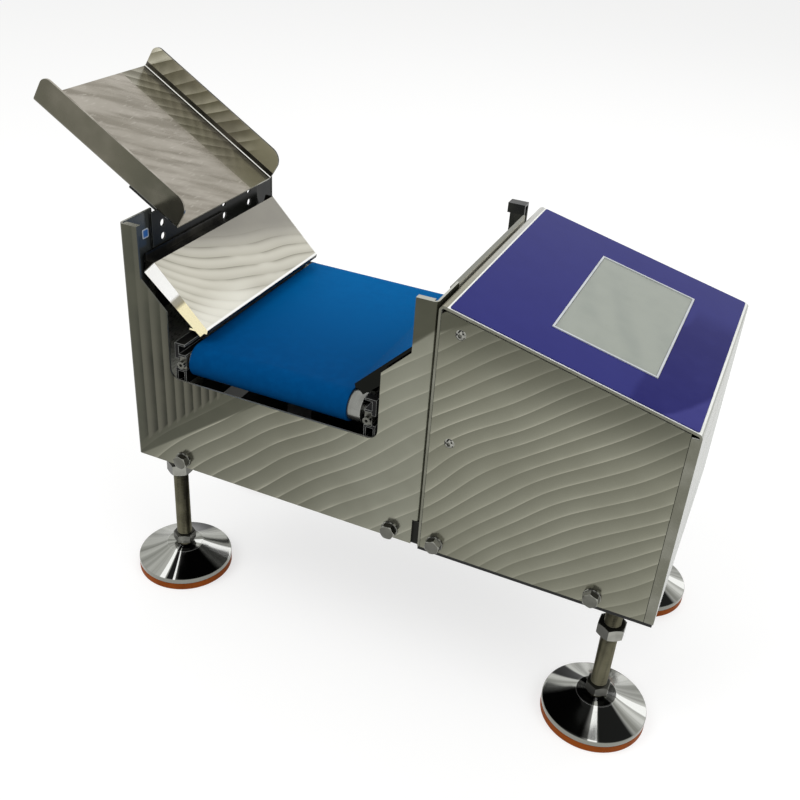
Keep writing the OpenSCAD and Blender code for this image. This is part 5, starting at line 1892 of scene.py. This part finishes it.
@dataclass
class Studio:
    """Pale floor, soft light and the camera.

    Attributes:
        eye: The camera's place.
        aim: The point that it looks at.
        roll_deg: How far it leans.
        lens: Its focal length in millimetres.
        sensor: Its sensor's width in millimetres.
        floor_size: Half the width of the floor.
        floor_tiles: Number of the floor's faces along each side.
        floor_colour: The floor's linear colour.
        floor_glow: How strongly it glows for the camera.
        world_light: Strength of the even light on the object.
        lamps: Each lamp's place, width and power.
    """

    eye: tuple[float, float, float] = (0.336725, -0.794015, 0.738443)
    aim: tuple[float, float, float] = (0.031842, -0.041397, 0.245384)
    roll_deg: float = -4.2
    lens: float = 44.29
    sensor: float = 36.0
    floor_size: float = 6.0
    floor_tiles: int = 4
    floor_colour: tuple[float, float, float, float] = (0.42, 0.42, 0.415, 1.0)
    floor_glow: float = 0.64
    world_light: float = 0.55
    lamps: tuple[tuple[tuple[float, float, float], float, float], ...] = (
        ((-1.2, -1.4, 2.2), 1.6, 26.0),
        ((1.6, -0.6, 2.0), 1.6, 18.0),
        ((0.2, 1.6, 2.4), 1.8, 16.0),
    )

    def build(self) -> None:
        """Set the stage."""
        bpy.context.scene.view_settings.view_transform = "Standard"
        self.camera()
        self.world()
        self.floor()
        for number, (place, width, power) in enumerate(self.lamps):
            self.lamp(number, place, width, power)

    def camera(self) -> None:
        """Place the camera and make it the scene's own."""
        data = bpy.data.cameras.new("camera")
        data.lens = self.lens
        data.sensor_width = self.sensor
        made = linked("camera", data)
        look = (Vector(self.aim) - Vector(self.eye)).to_track_quat("-Z", "Y").to_matrix().to_4x4()
        lean = Matrix.Rotation(math.radians(-self.roll_deg), 4, "Z")
        made.matrix_world = Matrix.Translation(self.eye) @ look @ lean
        bpy.context.scene.camera = made

    def seen(self, graph: Graph) -> Socket:
        """Give 1 for what the camera sees, also by reflection or through glass, and 0 for other light."""
        path = graph.node("ShaderNodeLightPath").outputs
        mirrored = graph.math("MAXIMUM", path["Is Glossy Ray"], path["Is Transmission Ray"])
        return graph.math("MAXIMUM", path["Is Camera Ray"], mirrored)

    def world(self) -> None:
        """Make the surroundings white to look at, and lower as light."""
        world = bpy.data.worlds.new("studio")
        graph = emptied(world)
        seen = self.seen(graph)
        strength = graph.plus(graph.times(seen, 1.0 - self.world_light), self.world_light)
        light = graph.node("ShaderNodeBackground", {"Color": (1.0, 1.0, 1.0, 1.0), "Strength": strength})
        graph.node("ShaderNodeOutputWorld", {"Surface": light.outputs[0]})
        bpy.context.scene.world = world

    def floor(self) -> None:
        """Lay a pale floor that glows to white for the camera and keeps the shadow."""
        tiles, stride = np.arange(self.floor_tiles), self.floor_tiles + 1
        ticks = np.linspace(-self.floor_size, self.floor_size, stride)
        across, along = np.meshgrid(ticks, ticks, indexing="ij")
        points = np.stack([across, along, 0 * across], axis=-1).reshape(-1, 3)
        row, column = np.meshgrid(tiles, tiles, indexing="ij")
        first = (row * stride + column).ravel()
        faces = np.stack([first, first + stride, first + stride + 1, first + 1], axis=-1)
        mesh = bpy.data.meshes.new("floor")
        mesh.from_pydata(points.tolist(), [], faces.tolist())
        made = linked("floor", mesh)
        material = bpy.data.materials.new("floor_paint")
        graph = emptied(material)
        matt = graph.node("ShaderNodeBsdfDiffuse", {"Color": self.floor_colour})
        glow = graph.node("ShaderNodeEmission", {"Strength": graph.times(self.seen(graph), self.floor_glow)})
        both = graph.node("ShaderNodeAddShader", {0: matt.outputs[0], 1: glow.outputs[0]})
        graph.node("ShaderNodeOutputMaterial", {"Surface": both.outputs[0]})
        mesh.materials.append(material)

    def lamp(self, number: int, place: tuple[float, float, float], width: float, power: float) -> None:
        """Hang one large soft lamp that looks at the machine."""
        data = bpy.data.lights.new(f"lamp_{number}", "AREA")
        data.size = width
        data.energy = power
        made = linked(data.name, data)
        made.location = place
        made.rotation_euler = (Vector(self.aim) - Vector(place)).to_track_quat("-Z", "Y").to_euler()
        made.visible_glossy = False
        made.visible_camera = False


def main() -> None:
    """Build every sub-assembly in order and set the stage."""
    logging.basicConfig(level=logging.INFO, format="%(name)s: %(message)s")
    for group in (Housing(), Conveyor(), Infeed(), Console(), Feet(), Fasteners()):
        LOG.info("building %s", type(group).__name__)
        group.build()
    Studio().build()


if __name__ == "__main__":
    main()
